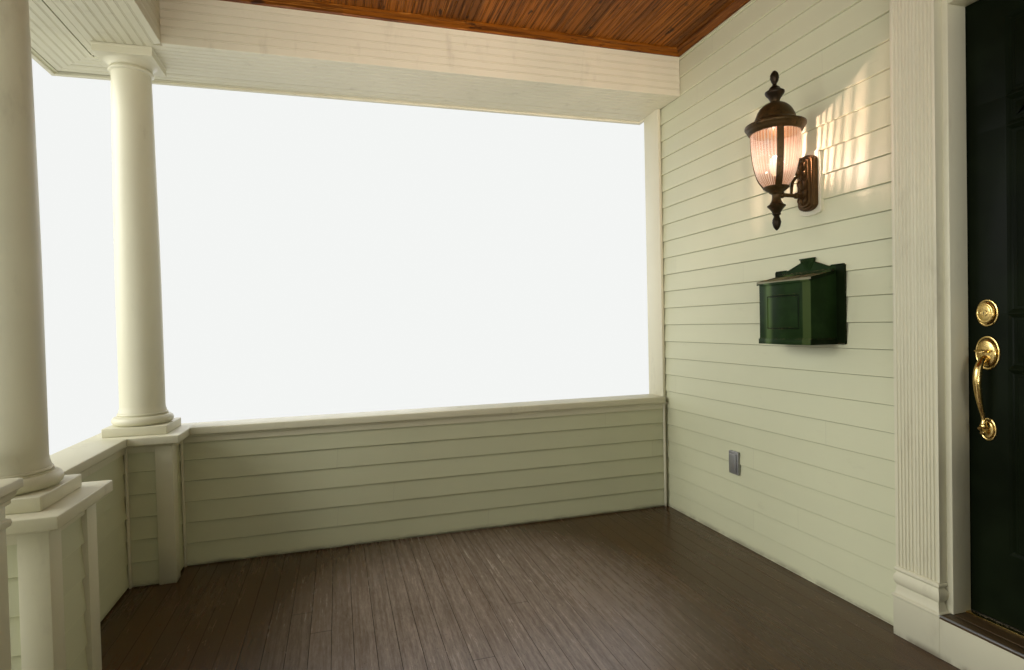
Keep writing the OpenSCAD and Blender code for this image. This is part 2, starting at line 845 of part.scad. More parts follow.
module mailbox_lid() {
    barrel = mailbox_w - 44;
    color(green_col) difference() {
        union() {
            at_mailbox() difference() {
                intersection() {
                    translate([0, 0, mailbox_h - 60]) linear_extrude(80) mailbox_plan(lid_gap + 3);
                    mailbox_under(lid_gap + 3);
                }
                mailbox_under(lid_gap);
                translate([-mailbox_back_w / 2, -box_back_t - 14, 0])
                    cube([mailbox_back_w, 50, 2 * mailbox_h]);
            }
            at_mailbox() difference() {
                intersection() {
                    translate([0, 0, mailbox_h - 60]) linear_extrude(80) mailbox_plan(lid_gap + 3);
                    mailbox_under(lid_gap + 1);
                    translate([-mailbox_back_w / 2, -2 * mailbox_d, 0])
                        cube([mailbox_back_w, 2 * mailbox_d - 110, 2 * mailbox_h]);
                }
                mailbox_under(-10);
                linear_extrude(2 * mailbox_h) mailbox_plan(lid_gap);
            }
            translate(lid_pin + [-barrel / 2, 0, 0]) rotate([0, 90, 0])
                cylinder(h = barrel, r = 4.2);
            translate(lid_pin + [-barrel / 2, -14, -7]) cube([barrel, 14, 5]);
        }
        translate(lid_pin + [-barrel / 2 - 1, 0, 0]) rotate([0, 90, 0])
            cylinder(h = barrel + 2, r = 2);
    }
}

foundation_front();
foundation_ends();
deck_rims();
deck_joists();
deck_floor();
step_treads();
step_risers();
step_stringers();
house_base();
house_wall_left();
house_wall_right();
house_wall_over_door();
house_corner_boards();
half_walls();
piers();
wall_caps();
pier_caps();
newel_posts();
newel_caps();
column_bases();
column_shafts();
column_capitals();
front_beam();
end_beams();
ceiling();
ceiling_trim();
front_soffit();
end_soffits();
front_fascia();
end_fascias();
roof();
door_jambs();
door_head();
door_sill();
sill_riser();
door_casings();
casing_blocks();
head_cornice();
door_leaf();
hinge_barrels();
hinge_leaves();
door_handle();
thumb_latch();
deadbolt();
lantern_bracket();
lantern_body();
lantern_glass();
lantern_roof();
mailbox_body();
mailbox_lid();
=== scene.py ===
import json
import math

import bmesh
import bpy
from bpy.props import FloatProperty, FloatVectorProperty, IntProperty, PointerProperty
from mathutils import Matrix, Vector


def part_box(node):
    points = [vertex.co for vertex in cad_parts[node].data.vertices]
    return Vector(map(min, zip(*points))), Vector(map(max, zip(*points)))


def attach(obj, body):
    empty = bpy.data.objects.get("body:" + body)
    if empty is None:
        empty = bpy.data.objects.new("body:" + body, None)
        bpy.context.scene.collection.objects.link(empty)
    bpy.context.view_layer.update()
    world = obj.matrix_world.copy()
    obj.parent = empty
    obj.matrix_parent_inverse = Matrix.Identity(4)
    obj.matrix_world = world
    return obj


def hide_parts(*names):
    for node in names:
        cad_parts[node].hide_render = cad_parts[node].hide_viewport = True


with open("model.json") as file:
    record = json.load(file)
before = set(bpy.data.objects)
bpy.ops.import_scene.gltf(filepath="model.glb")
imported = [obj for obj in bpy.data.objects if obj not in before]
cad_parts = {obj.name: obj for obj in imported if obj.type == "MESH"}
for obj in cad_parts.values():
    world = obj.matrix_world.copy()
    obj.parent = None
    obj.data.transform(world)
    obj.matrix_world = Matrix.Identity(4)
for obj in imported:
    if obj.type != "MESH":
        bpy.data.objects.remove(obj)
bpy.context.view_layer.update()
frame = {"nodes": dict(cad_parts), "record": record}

bl_info = {
    "name": "Front Porch Dressing",
    "version": (1, 0, 0),
    "blender": (4, 5, 0),
    "location": "View3D > Sidebar > Porch",
    "description": "Boards, mouldings, hardware and finishes of a covered front porch",
    "category": "Object",
}

# Levels and planes of the frame, in metres
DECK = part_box("deck_floor")[1].z
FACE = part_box("house_wall_left")[0].y
WALL_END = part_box("house_wall_right")[1].x
CAP_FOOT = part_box("pier_caps")[0].z
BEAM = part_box("front_beam")[0].z
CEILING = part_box("front_beam")[1].z
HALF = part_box("front_beam")[1].x
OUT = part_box("front_beam")[0].y
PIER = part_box("front_beam")[1].y - OUT
COLUMN_Y = OUT + PIER / 2
CORNER_X = HALF - PIER / 2
STEP_X = min(point.co.x for point in frame["nodes"]["column_capitals"].data.vertices
             if point.co.x > 0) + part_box("column_capitals")[1].x - CORNER_X
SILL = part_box("door_sill")[1].z
CEILING_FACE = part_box("ceiling")[0].z
EAVE_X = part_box("roof")[1].x
EAVE_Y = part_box("roof")[0].y
DOOR_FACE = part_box("door_leaf")[0].y
HANDLE_X = (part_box("deadbolt")[0].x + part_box("deadbolt")[1].x) / 2

# Walls, piers and siding, in metres
WALL_T = 0.140
PIER_HALF = 0.155
BOARD_PROUD = 0.010
SIDING_BACK = 0.0115
RAIL_FOOT = 0.010

# Bricks and shingles, in metres
BRICK_LENGTH = 0.2032
BRICK_JOINT = 0.010
SHINGLE_TAB = 0.305

# Half the width of the mailbox's front, and half its frame's width and height, in metres
BAND_X = 0.1553
PANEL_X, PANEL_Z, PANEL_MIDDLE = 0.0935, 0.0715, 0.143

# Points closer together than this become one, in metres
MERGE = 0.00002

# The camera, in metres, degrees and millimetres
CAMERA = (1.07, -2.19, 1.811)
YAW, PITCH, ROLL = 16.62, -1.01, -1.34
SENSOR, LENS = 36.0, 20.57


class PorchSizes(bpy.types.PropertyGroup):
    """Sizes of the boards, courses and mouldings."""

    course: FloatProperty(
        name="Siding course", description="Height of one course of siding that shows",
        default=0.108, min=0.06, max=0.2, subtype="DISTANCE", unit="LENGTH")
    butt: FloatProperty(
        name="Siding butt", description="Step from one course of siding to the next",
        default=0.0092, min=0.003, max=0.012, subtype="DISTANCE", unit="LENGTH")
    floor_board: FloatProperty(
        name="Floor board", description="Width of a floor board",
        default=0.082, min=0.05, max=0.15, subtype="DISTANCE", unit="LENGTH")
    bead_board: FloatProperty(
        name="Beadboard", description="Distance from one bead to the next",
        default=0.041, min=0.025, max=0.1, subtype="DISTANCE", unit="LENGTH")
    corner_board: FloatProperty(
        name="Corner board", description="Width of the corner boards of the piers",
        default=0.065, min=0.03, max=0.12, subtype="DISTANCE", unit="LENGTH")
    shingle: FloatProperty(
        name="Shingle course", description="Height of one course of shingles that shows",
        default=0.140, min=0.1, max=0.2, subtype="DISTANCE", unit="LENGTH")
    brick: FloatProperty(
        name="Brick course", description="Height of one course of bricks with its joint",
        default=0.0677, min=0.05, max=0.1, subtype="DISTANCE", unit="LENGTH")
    ribs: IntProperty(
        name="Glass ribs", description="Number of ribs round the lantern's glass",
        default=44, min=12, max=90)


class PorchColours(bpy.types.PropertyGroup):
    """Colours of the finishes."""

    trim: FloatVectorProperty(
        name="Trim", description="Paint of the trim, columns and beams",
        default=(0.655, 0.628, 0.445), size=3, min=0, max=1, subtype="COLOR")
    siding: FloatVectorProperty(
        name="Siding", description="Paint of the siding",
        default=(0.58, 0.585, 0.385), size=3, min=0, max=1, subtype="COLOR")
    floor: FloatVectorProperty(
        name="Floor", description="Paint of the floor boards and treads",
        default=(0.058, 0.025, 0.005), size=3, min=0, max=1, subtype="COLOR")
    ceiling: FloatVectorProperty(
        name="Ceiling", description="Varnish of the ceiling boards",
        default=(0.235, 0.072, 0.005), size=3, min=0, max=1, subtype="COLOR")
    door: FloatVectorProperty(
        name="Door", description="Gloss paint of the door",
        default=(0.0042, 0.0064, 0.0026), size=3, min=0, max=1, subtype="COLOR")
    brass: FloatVectorProperty(
        name="Brass", description="Polished brass of the door's hardware",
        default=(0.74, 0.53, 0.19), size=3, min=0, max=1, subtype="COLOR")
    bronze: FloatVectorProperty(
        name="Bronze", description="Aged bronze of the lantern",
        default=(0.055, 0.034, 0.010), size=3, min=0, max=1, subtype="COLOR")
    mailbox: FloatVectorProperty(
        name="Mailbox", description="Enamel of the mailbox",
        default=(0.0105, 0.0235, 0.0062), size=3, min=0, max=1, subtype="COLOR")
    brick: FloatVectorProperty(
        name="Brick", description="Fired clay of the foundation",
        default=(0.26, 0.085, 0.05), size=3, min=0, max=1, subtype="COLOR")
    shingle: FloatVectorProperty(
        name="Shingle", description="Mineral grains of the roof",
        default=(0.060, 0.060, 0.064), size=3, min=0, max=1, subtype="COLOR")


def sizes():
    return bpy.context.scene.porch_sizes


def colours():
    return bpy.context.scene.porch_colours


# Materials

class Reading:
    """A value inside a material, which the usual signs combine with others."""

    def __init__(self, finish, socket):
        self.finish = finish
        self.socket = socket

    def math(self, operation, *others):
        inputs = dict(enumerate((self,) + others))
        return self.finish.add("ShaderNodeMath", {"operation": operation}, inputs)

    def __add__(self, other):
        return self.math("ADD", other)

    def __mul__(self, other):
        return self.math("MULTIPLY", other)

    def __sub__(self, other):
        return self.math("SUBTRACT", other)

    def __truediv__(self, other):
        return self.math("DIVIDE", other)

    def __rsub__(self, other):
        return self.finish.add("ShaderNodeMath", {"operation": "SUBTRACT"}, {0: other, 1: self})

    __radd__ = __add__
    __rmul__ = __mul__

    def floor(self):
        return self.math("FLOOR")

    def fraction(self):
        return self.math("FRACT")

    def above(self, limit):
        return self.math("GREATER_THAN", limit)

    def between(self, low, high):
        """0 below low, 1 above high, smooth between them."""
        return self.finish.add(
            "ShaderNodeMapRange", {"interpolation_type": "SMOOTHSTEP"},
            {"Value": self, "From Min": low, "From Max": high})


class Finish:
    """A material made of nodes on object coordinates."""

    def __init__(self, name, roughness=0.5, **constants):
        self.material = bpy.data.materials.new(name)
        self.material.use_nodes = True
        self.tree = self.material.node_tree
        self.shader = self.tree.nodes["Principled BSDF"]
        self.shader.inputs["Roughness"].default_value = roughness
        for key, value in constants.items():
            self.shader.inputs[key.replace("_", " ")].default_value = value
        self.place = self.add("ShaderNodeTexCoord", out="Object")
        split = self.add("ShaderNodeSeparateXYZ", inputs={0: self.place}).socket.node
        self.x, self.y, self.z = (Reading(self, socket) for socket in split.outputs)

    def add(self, kind, settings=None, inputs=None, out=0, stops=None):
        node = self.tree.nodes.new(kind)
        for key, value in (settings or {}).items():
            setattr(node, key, value)
        if stops:
            ramp = node.color_ramp
            while len(ramp.elements) < len(stops):
                ramp.elements.new(0.5)
            for element, (position, colour) in zip(ramp.elements, stops):
                element.position = position
                element.color = (*colour, 1.0)
        for key, value in (inputs or {}).items():
            if isinstance(value, Reading):
                self.tree.links.new(value.socket, node.inputs[key])
            else:
                node.inputs[key].default_value = value
        return Reading(self, node.outputs[out])

    def noise(self, scale, stretch=(1, 1, 1), detail=3.0, rough=0.55, place=None):
        shifted = self.add(
            "ShaderNodeMapping", inputs={"Vector": place or self.place, "Scale": stretch})
        return self.add(
            "ShaderNodeTexNoise", {"noise_dimensions": "3D"},
            {"Vector": shifted, "Scale": scale, "Detail": detail, "Roughness": rough})

    def chance(self, value):
        """A number from 0 to 1 that stays the same for each whole value."""
        return self.add("ShaderNodeTexWhiteNoise", {"noise_dimensions": "1D"}, {"W": value})

    def vector(self, x, y, z):
        return self.add("ShaderNodeCombineXYZ", inputs={0: x, 1: y, 2: z})

    def mix(self, factor, a, b):
        """Colour a where the factor is 0 and colour b where it is 1."""
        def colour(value):
            return value if isinstance(value, Reading) else (*value, 1.0)
        return self.add(
            "ShaderNodeMix", {"data_type": "RGBA"},
            {0: factor, 6: colour(a), 7: colour(b)}, out=2)

    def ramp(self, factor, stops):
        return self.add("ShaderNodeValToRGB", inputs={0: factor}, stops=stops)

    def bump(self, height, distance, strength=1.0):
        self.give("Normal", self.add("ShaderNodeBump", inputs={
            "Height": height, "Distance": distance, "Strength": strength}))

    def give(self, socket, value):
        self.tree.links.new(value.socket, self.shader.inputs[socket])


def darker(colour, factor):
    return tuple(channel * factor for channel in colour)


finishes = {}


def make_trim():
    """Satin cream paint with faint brush marks; painted shade with some grime up to 0.22 m above
    the deck; soiled just above it.
    """
    finish = Finish("trim paint", 0.42, Specular_IOR_Level=0.45)
    paint = tuple(colours().trim)
    cloud = finish.noise(1.7, detail=4.0)
    grime = finish.noise(9.0, (1, 1, 0.35), 5.0, 0.65)
    body = finish.mix(cloud.between(0.35, 0.7), paint, darker(paint, 0.94))
    body = finish.mix(grime.between(0.56, 0.8) * 0.30, body, (0.27, 0.22, 0.14))
    height = finish.z - DECK
    over = (height + 0.004).above(0.0)
    # painted shade with some grime: greyer towards the deck, up to 0.22 m above it
    body = finish.mix((1.0 - height.between(-0.01, 0.22)) * over * 0.42, body, (0.27, 0.27, 0.20))
    soil = (1.0 - height.between(0.0, 0.030)) * over * grime.between(0.35, 0.60)
    body = finish.mix(soil * 0.65, body, (0.07, 0.05, 0.03))
    finish.give("Base Color", body)
    finish.give("Roughness", 0.40 + grime * 0.14)
    brush = finish.noise(110.0, (1, 1, 0.12), 2.0)
    finish.bump(brush * 0.4 + finish.noise(14.0, detail=2.0) * 0.6, 0.0004, 0.15)
    return finish.material


def make_siding(name, foot):
    """Cream paint on siding: a tone for each board, hairline joints, painted shade under each
    butt, a painted highlight on each butt's edge, a soiled foot.
    """
    finish = Finish(name, 0.50, Specular_IOR_Level=0.35)
    paint = tuple(colours().siding)
    lift = (finish.z - DECK - foot) / sizes().course + 1.0
    course = (lift + 0.02).floor()
    along = finish.x + finish.y
    board = ((along / 2.9) + finish.chance(course + 7.0) * 5.0)
    tone = finish.chance(board.floor() * 13.0 + course)
    body = finish.mix(tone, paint, darker(paint, 0.95))
    cloud = finish.noise(1.1, detail=4.0)
    body = finish.mix(cloud.between(0.4, 0.75) * 0.5, body, darker(paint, 1.08))
    dirt = finish.noise(6.0, (1, 1, 3.0), 6.0, 0.7)
    body = finish.mix(dirt.between(0.6, 0.82) * 0.18, body, (0.24, 0.21, 0.13))
    soil = (1.0 - (finish.z - DECK).between(0.0, 0.035)) * dirt.between(0.35, 0.60)
    body = finish.mix(soil * 0.55, body, (0.08, 0.06, 0.035))
    step = lift.fraction()
    # painted shade: a dark band on the top of each course, under the butt of the course above
    body = finish.mix(step.between(0.955, 0.985) * 0.55, body, (0.16, 0.14, 0.085))
    # painted highlight along the lower edge of each butt
    body = finish.mix((1.0 - step.between(0.0, 0.05)) * 0.5, body, darker(paint, 1.22))
    edge = board.fraction()
    joint = edge.between(0.0, 0.0003) * (1.0 - edge.between(0.9997, 1.0))
    body = finish.mix((1.0 - joint) * 0.6, body, (0.25, 0.22, 0.16))
    finish.give("Base Color", body)
    finish.give("Roughness", 0.42 + dirt * 0.14)
    grain = finish.noise(26.0, (0.12, 0.12, 3.2), 3.0, 0.6)
    finish.bump(grain + joint * 0.3, 0.0008, 0.2)
    return finish.material


def make_floor():
    """Brown floor paint with streaks along the boards, lighter clouds of painted sheen, and a
    painted grey sheen on a patch either side of the middle.
    """
    finish = Finish("floor paint", 0.3, Specular_IOR_Level=0.42)
    paint = tuple(colours().floor)
    across = (finish.y - OUT) / sizes().floor_board
    row = across.floor()
    board = finish.x / 3.1 + finish.chance(row) * 4.0
    tone = finish.chance(board.floor() * 17.0 + row)
    body = finish.mix(tone, darker(paint, 0.82), darker(paint, 1.30))
    streak = finish.noise(7.0, (0.35, 9.0, 1.0), 6.0, 0.65)
    body = finish.mix(streak.between(0.42, 0.72) * 0.45, body, (0.082, 0.041, 0.012))
    # painted sheen: lighter brown clouds in place of reflected daylight
    sheen_cloud = finish.noise(1.3, (0.8, 1.2, 1.0), 5.0, 0.6)
    body = finish.mix(sheen_cloud.between(0.44, 0.68) * 0.4, body, (0.094, 0.056, 0.027))
    scuff = finish.noise(34.0, (0.5, 3.0, 1.0), 6.0, 0.75)
    body = finish.mix(scuff.between(0.60, 0.72) * 0.3, body, (0.22, 0.16, 0.11))
    seam = across.fraction()
    seam = seam.between(0.0, 0.022) * (1.0 - seam.between(0.978, 1.0))
    body = finish.mix((1.0 - seam) * 0.85, body, (0.008, 0.005, 0.003))
    # painted sheen: a grey patch either side of the middle, off the seams, in place of a
    # reflection of the bright opening
    off_x = (finish.x.math("ABSOLUTE") - 1.35) / 1.15
    off_y = (finish.y + 1.62) / 0.95
    painted_sheen = 1.0 - (off_x * off_x + off_y * off_y).between(0.05, 1.1)
    painted_sheen = painted_sheen * (0.35 + streak.between(0.3, 0.7) * 0.5 + scuff.between(0.35, 0.7) * 0.4)
    body = finish.mix(painted_sheen * seam * 0.85, body, (0.345, 0.275, 0.230))
    specks = finish.noise(120.0, detail=1.0)
    body = finish.mix(specks.between(0.71, 0.74) * 0.8, body, (0.03, 0.02, 0.015))
    edge = board.fraction()
    joint = edge.between(0.0, 0.0009) * (1.0 - edge.between(0.9991, 1.0))
    body = finish.mix(1.0 - joint, body, (0.018, 0.010, 0.007))
    finish.give("Base Color", body)
    finish.give("Roughness", 0.12 + sheen_cloud * 0.12 + streak * 0.10 + scuff * 0.06)
    grain = finish.noise(30.0, (0.08, 5.0, 1.0), 4.0, 0.6)
    finish.bump(grain * 0.7 + joint * 0.6 + scuff * 0.2, 0.0014, 0.25)
    return finish.material


def make_varnish(name, along):
    """Dark varnished wood along one axis: orange early wood, dark streaks, knots, and painted
    shade in the grooves.
    """
    finish = Finish(name, 0.34, Specular_IOR_Level=0.12)
    tint = tuple(colours().ceiling)
    run, side = (finish.x, finish.y) if along == "x" else (finish.y, finish.x)
    row = ((side - OUT) / (2 * sizes().bead_board)).floor()
    tone = finish.chance(row * 3.0 + (run / 2.4 + finish.chance(row) * 3.0).floor() * 11.0)
    body = finish.mix(tone, darker(tint, 0.60), darker(tint, 1.35))
    place = finish.vector(run, side, finish.z)
    streak = finish.noise(10.0, (0.35, 11.0, 1.0), 6.0, 0.62, place)
    body = finish.mix(streak.between(0.44, 0.62) * 0.8, body, (0.050, 0.014, 0.002))
    fine = finish.noise(26.0, (0.25, 9.0, 1.0), 4.0, 0.6, place)
    body = finish.mix(fine.between(0.56, 0.68) * 0.5, body, (0.44, 0.19, 0.035))
    knots = finish.noise(13.0, (0.6, 1.5, 1.0), 3.0, 0.5, place)
    body = finish.mix(knots.between(0.64, 0.72) * 0.85, body, (0.016, 0.006, 0.002))
    # painted shade: nearly black from 2 mm deep, fading out by 0.4 mm, in the grooves between the
    # beads
    groove_shade = (finish.z - CEILING_FACE).between(0.0004, 0.0020)
    body = finish.mix(groove_shade * 0.92, body, (0.010, 0.0035, 0.001))
    finish.give("Base Color", body)
    finish.give("Roughness", 0.30 + streak * 0.2)
    finish.bump(streak, 0.0012, 0.35)
    return finish.material


def make_framing():
    """Bare sawn timber of the deck frame."""
    finish = Finish("sawn timber", 0.75)
    grain = finish.noise(9.0, (1.5, 1.5, 12.0), 5.0, 0.6)
    body = finish.ramp(grain, [(0.3, (0.22, 0.14, 0.075)), (0.55, (0.40, 0.28, 0.16)),
                               (0.8, (0.50, 0.37, 0.22))])
    finish.give("Base Color", body)
    finish.bump(grain, 0.0015, 0.5)
    return finish.material


def make_oak():
    """Oiled oak of the door sill, darker in the grain."""
    finish = Finish("oiled oak", 0.42)
    grain = finish.noise(22.0, (0.18, 3.5, 3.5), 6.0, 0.65)
    body = finish.ramp(grain, [(0.30, (0.016, 0.009, 0.003)), (0.52, (0.060, 0.036, 0.012)),
                               (0.78, (0.120, 0.075, 0.030))])
    dust = finish.noise(60.0, detail=4.0, rough=0.7)
    body = finish.mix(dust.between(0.58, 0.74) * 0.3, body, (0.20, 0.16, 0.10))
    finish.give("Base Color", body)
    finish.give("Roughness", 0.36 + grain * 0.25)
    finish.bump(grain, 0.001, 0.5)
    return finish.material


def make_door():
    """Nearly black green gloss paint with a soft brushed skin."""
    finish = Finish("door gloss", 0.3, Specular_IOR_Level=0.04)
    paint = tuple(colours().door)
    cloud = finish.noise(4.0, detail=4.0)
    finish.give("Base Color", finish.mix(cloud.between(0.4, 0.7), paint, darker(paint, 1.7)))
    finish.give("Roughness", 0.26 + cloud * 0.14)
    finish.bump(finish.noise(55.0, (1.0, 1.0, 0.16), 2.0), 0.0004, 0.3)
    return finish.material


def make_brass():
    """Polished brass with brown tarnish in patches, nearly black within 3 mm of the door as
    painted shade and dark reflection, with some tarnish.
    """
    finish = Finish("brass", 0.2, Metallic=1.0)
    metal = tuple(colours().brass)
    patch = finish.noise(38.0, detail=5.0, rough=0.65)
    body = finish.mix(patch.between(0.50, 0.72) * 0.75, metal, (0.25, 0.135, 0.045))
    # painted shade and dark reflection, with some tarnish: nearly black on what lies within 3 mm
    # of the door
    behind = (DOOR_FACE + 0.002 - finish.y).above(0.0)
    deep = (finish.y - DOOR_FACE).between(-0.0042, -0.0030) * behind
    body = finish.mix(deep * 0.92, body, (0.030, 0.018, 0.007))
    finish.give("Base Color", body)
    finish.give("Roughness", 0.15 + patch.between(0.40, 0.75) * 0.25 + deep * 0.3)
    finish.bump(finish.noise(240.0, detail=2.0), 0.0002, 0.25)
    return finish.material


def make_bronze():
    """Dark bronze coating, rubbed browner here and there, nearly black at its two ends, and warmer
    with painted lamp light near the wall.
    """
    finish = Finish("aged bronze", 0.42, Metallic=0.55, Specular_IOR_Level=0.2)
    metal = tuple(colours().bronze)
    rub = finish.noise(30.0, detail=5.0, rough=0.7)
    body = finish.mix(rub.between(0.50, 0.76) * 0.8, metal, (0.15, 0.070, 0.026))
    body = finish.mix(finish.noise(70.0, detail=3.0).between(0.54, 0.70) * 0.7, body,
                      (0.010, 0.007, 0.004))
    lantern = lantern_axis()
    height = finish.z - lantern.z
    away = (FACE - 0.080 - finish.y).above(0.0)
    ends = height.between(0.335, 0.365) + (1.0 - height.between(-0.17, -0.05)) * away
    body = finish.mix(ends * 0.8, body, (0.008, 0.006, 0.003))
    # painted light: the lamp's warm glow on the back plate and what lies within 80 mm of the wall
    body = finish.mix((1.0 - away) * 0.4, body, (0.125, 0.064, 0.022))
    finish.give("Base Color", body)
    finish.give("Roughness", 0.32 + rub * 0.22)
    finish.bump(finish.noise(150.0, detail=3.0), 0.0006, 0.4)
    return finish.material


def make_glass():
    """Ribbed lantern glass with a painted glow from the lit bulb behind it."""
    lantern = lantern_axis()
    finish = Finish("ribbed glass", 0.10, IOR=1.45, Emission_Strength=0.80)
    turn = (finish.y - lantern.y).math("ARCTAN2", finish.x - lantern.x)
    rib = (turn * sizes().ribs).math("COSINE") * 0.5 + 0.5
    streak = finish.chance((turn * (sizes().ribs / 2 / math.pi)).floor())
    height = finish.z - lantern.z
    # painted glow: brightest in the band level with the bulb and on some ribs
    core = height.between(-0.02, 0.07) * (1.0 - height.between(0.10, 0.19))
    glow = finish.mix(core, (0.42, 0.15, 0.052), (0.80, 0.50, 0.32))
    glow = finish.mix(rib.between(0.45, 1.0) * (0.25 + streak * 0.5), glow, (1.0, 0.80, 0.60))
    finish.give("Emission Color", glow)
    finish.give("Base Color", finish.mix(rib, (0.050, 0.030, 0.018), (0.095, 0.068, 0.046)))
    finish.give("Alpha", 0.38 + rib.between(0.45, 1.0) * 0.28 + streak * 0.22)
    return finish.material


def make_bulb():
    """The lit bulb."""
    finish = Finish("lit bulb", 0.4, Emission_Strength=4.0)
    lantern = lantern_axis()
    hot = (finish.z - lantern.z).between(0.02, 0.07)
    finish.give("Emission Color", finish.mix(hot, (1.0, 0.62, 0.30), (1.0, 0.90, 0.72)))
    finish.give("Base Color", finish.mix(hot, (0.30, 0.26, 0.22), (0.35, 0.32, 0.28)))
    return finish.material


def make_mailbox():
    """Dark green enamel with painted highlights on the front's right band and left bend, painted
    shade on the sides and round the frame, a pale lip, and dust with painted reflection on what
    faces up.
    """
    finish = Finish("mailbox enamel", 0.34, Specular_IOR_Level=0.03)
    paint = tuple(colours().mailbox)
    cloud = finish.noise(14.0, detail=4.0)
    body = finish.mix(cloud.between(0.35, 0.7), paint, darker(paint, 1.5))
    low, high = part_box("mailbox_lid")
    body_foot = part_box("mailbox_body")[0].z
    side = finish.x - (low.x + high.x) / 2
    off = side.math("ABSOLUTE")
    front = (FACE - 0.030 - finish.y).above(0.0) * (BAND_X - off).above(0.0)
    # painted highlight: the front's right-hand band lighter green
    body = finish.mix(side.between(0.108, 0.113) * front * 0.8, body, (0.056, 0.082, 0.024))
    # painted highlight: a lighter green streak near the front's left bend
    gleam = 1.0 - (side + 0.088).math("ABSOLUTE").between(0.004, 0.045)
    body = finish.mix(gleam * front * 0.75, body, (0.090, 0.150, 0.040))
    # painted shade: the sides nearly black
    body = finish.mix(off.between(BAND_X, 0.158) * 0.7, body, (0.004, 0.005, 0.002))
    # painted shade: near-black lines round the frame's rods on the front
    rim = (finish.z - body_foot - PANEL_MIDDLE).math("ABSOLUTE") - PANEL_Z
    rim = (off - PANEL_X).math("MAXIMUM", rim).math("ABSOLUTE")
    body = finish.mix((1.0 - rim.between(0.0008, 0.0035)) * front * 0.8, body,
                      (0.002, 0.003, 0.001))
    facing = finish.add("ShaderNodeSeparateXYZ", inputs={
        0: finish.add("ShaderNodeNewGeometry", out="Normal")}, out=2)
    # dust with painted reflection: brown streaks on what faces up, chiefly the lid
    dust = finish.noise(45.0, detail=5.0, rough=0.7).between(0.35, 0.65)
    dust = facing.between(0.5, 0.95) * dust
    streak = finish.noise(26.0, (4.0, 0.5, 0.5), 4.0, 0.6).between(0.42, 0.60)
    dust_and_reflection = finish.mix(streak, (0.42, 0.31, 0.165), (0.045, 0.034, 0.016))
    body = finish.mix(dust * 0.9, body, dust_and_reflection)
    lip = (1.0 - facing.between(0.90, 0.96)) * (FACE - 0.145 - finish.y).above(0.0)
    body = finish.mix(lip * (finish.z - low.z - 0.012).above(0.0) * 0.7, body, (0.30, 0.28, 0.18))
    finish.give("Base Color", body)
    finish.give("Roughness", 0.34 + cloud * 0.12 + dust * 0.3)
    finish.bump(finish.noise(170.0, detail=2.0), 0.0003, 0.3)
    return finish.material


def make_brick():
    """Fired bricks, each with its own tone."""
    finish = Finish("brick", 0.85)
    clay = tuple(colours().brick)
    row = (finish.z / sizes().brick).floor()
    along = (finish.x + finish.y) / (BRICK_LENGTH + BRICK_JOINT) + (row * 0.5).fraction()
    tone = finish.chance(along.floor() * 7.0 + row)
    body = finish.mix(tone, darker(clay, 0.6), darker(clay, 1.35))
    fleck = finish.noise(60.0, detail=5.0, rough=0.7)
    body = finish.mix(fleck.between(0.5, 0.75) * 0.5, body, (0.42, 0.24, 0.17))
    finish.give("Base Color", body)
    finish.bump(fleck, 0.003, 0.6)
    return finish.material


def make_mortar():
    """Lime mortar and rough cement."""
    finish = Finish("mortar", 0.9)
    fleck = finish.noise(45.0, detail=6.0, rough=0.7)
    body = finish.ramp(fleck, [(0.3, (0.26, 0.24, 0.21)), (0.7, (0.44, 0.42, 0.37))])
    finish.give("Base Color", body)
    finish.bump(fleck, 0.003, 0.6)
    return finish.material


def make_shingle():
    """Mineral shingles, each with its own tone."""
    finish = Finish("mineral shingle", 0.9)
    grit = tuple(colours().shingle)
    row = ((finish.y - EAVE_Y) / (sizes().shingle * 0.97)).floor()
    tab = (finish.x / SHINGLE_TAB + (row * 0.5).fraction()).floor()
    tone = finish.chance(tab * 5.0 + row)
    body = finish.mix(tone, darker(grit, 0.65), darker(grit, 1.6))
    grains = finish.noise(420.0, detail=2.0)
    body = finish.mix(grains.between(0.4, 0.65) * 0.6, body, (0.17, 0.165, 0.16))
    finish.give("Base Color", body)
    finish.bump(grains, 0.0015, 0.7)
    return finish.material


def make_plaster():
    """Plain wall paint on the room side of the wall."""
    finish = Finish("room plaster", 0.7)
    cloud = finish.noise(2.2, detail=4.0)
    finish.give("Base Color", finish.mix(cloud, (0.66, 0.64, 0.58), (0.72, 0.70, 0.64)))
    finish.bump(finish.noise(120.0, detail=3.0), 0.0006, 0.3)
    return finish.material


def make_flashing():
    """Weathered grey sheet metal."""
    finish = Finish("sheet metal", 0.5, Metallic=0.8)
    cloud = finish.noise(12.0, detail=5.0)
    finish.give("Base Color", finish.mix(cloud, (0.24, 0.24, 0.24), (0.42, 0.42, 0.41)))
    finish.bump(cloud, 0.0006, 0.3)
    return finish.material


def make_painted_shade():
    """Painted shade: a near-black colour that stands for the hollow of a keyhole or a joint."""
    finish = Finish("painted shade gap", 0.8)
    fleck = finish.noise(80.0)
    finish.give("Base Color", finish.mix(fleck, (0.004, 0.004, 0.003), (0.012, 0.010, 0.008)))
    return finish.material


# Modelling steps

def everything_off():
    if bpy.context.mode != "OBJECT":
        bpy.ops.object.mode_set(mode="OBJECT")
    bpy.ops.object.select_all(action="DESELECT")


def work_on(*pieces):
    everything_off()
    for piece in pieces:
        piece.select_set(True)
    bpy.context.view_layer.objects.active = pieces[0]


def edit(piece):
    work_on(piece)
    bpy.ops.object.mode_set(mode="EDIT")
    bpy.ops.mesh.select_all(action="SELECT")


def leave():
    bpy.ops.object.mode_set(mode="OBJECT")


def settle(piece):
    """Puts a piece's place, turn and scale into its mesh."""
    work_on(piece)
    bpy.ops.object.transform_apply(location=True, rotation=True, scale=True)
    return piece


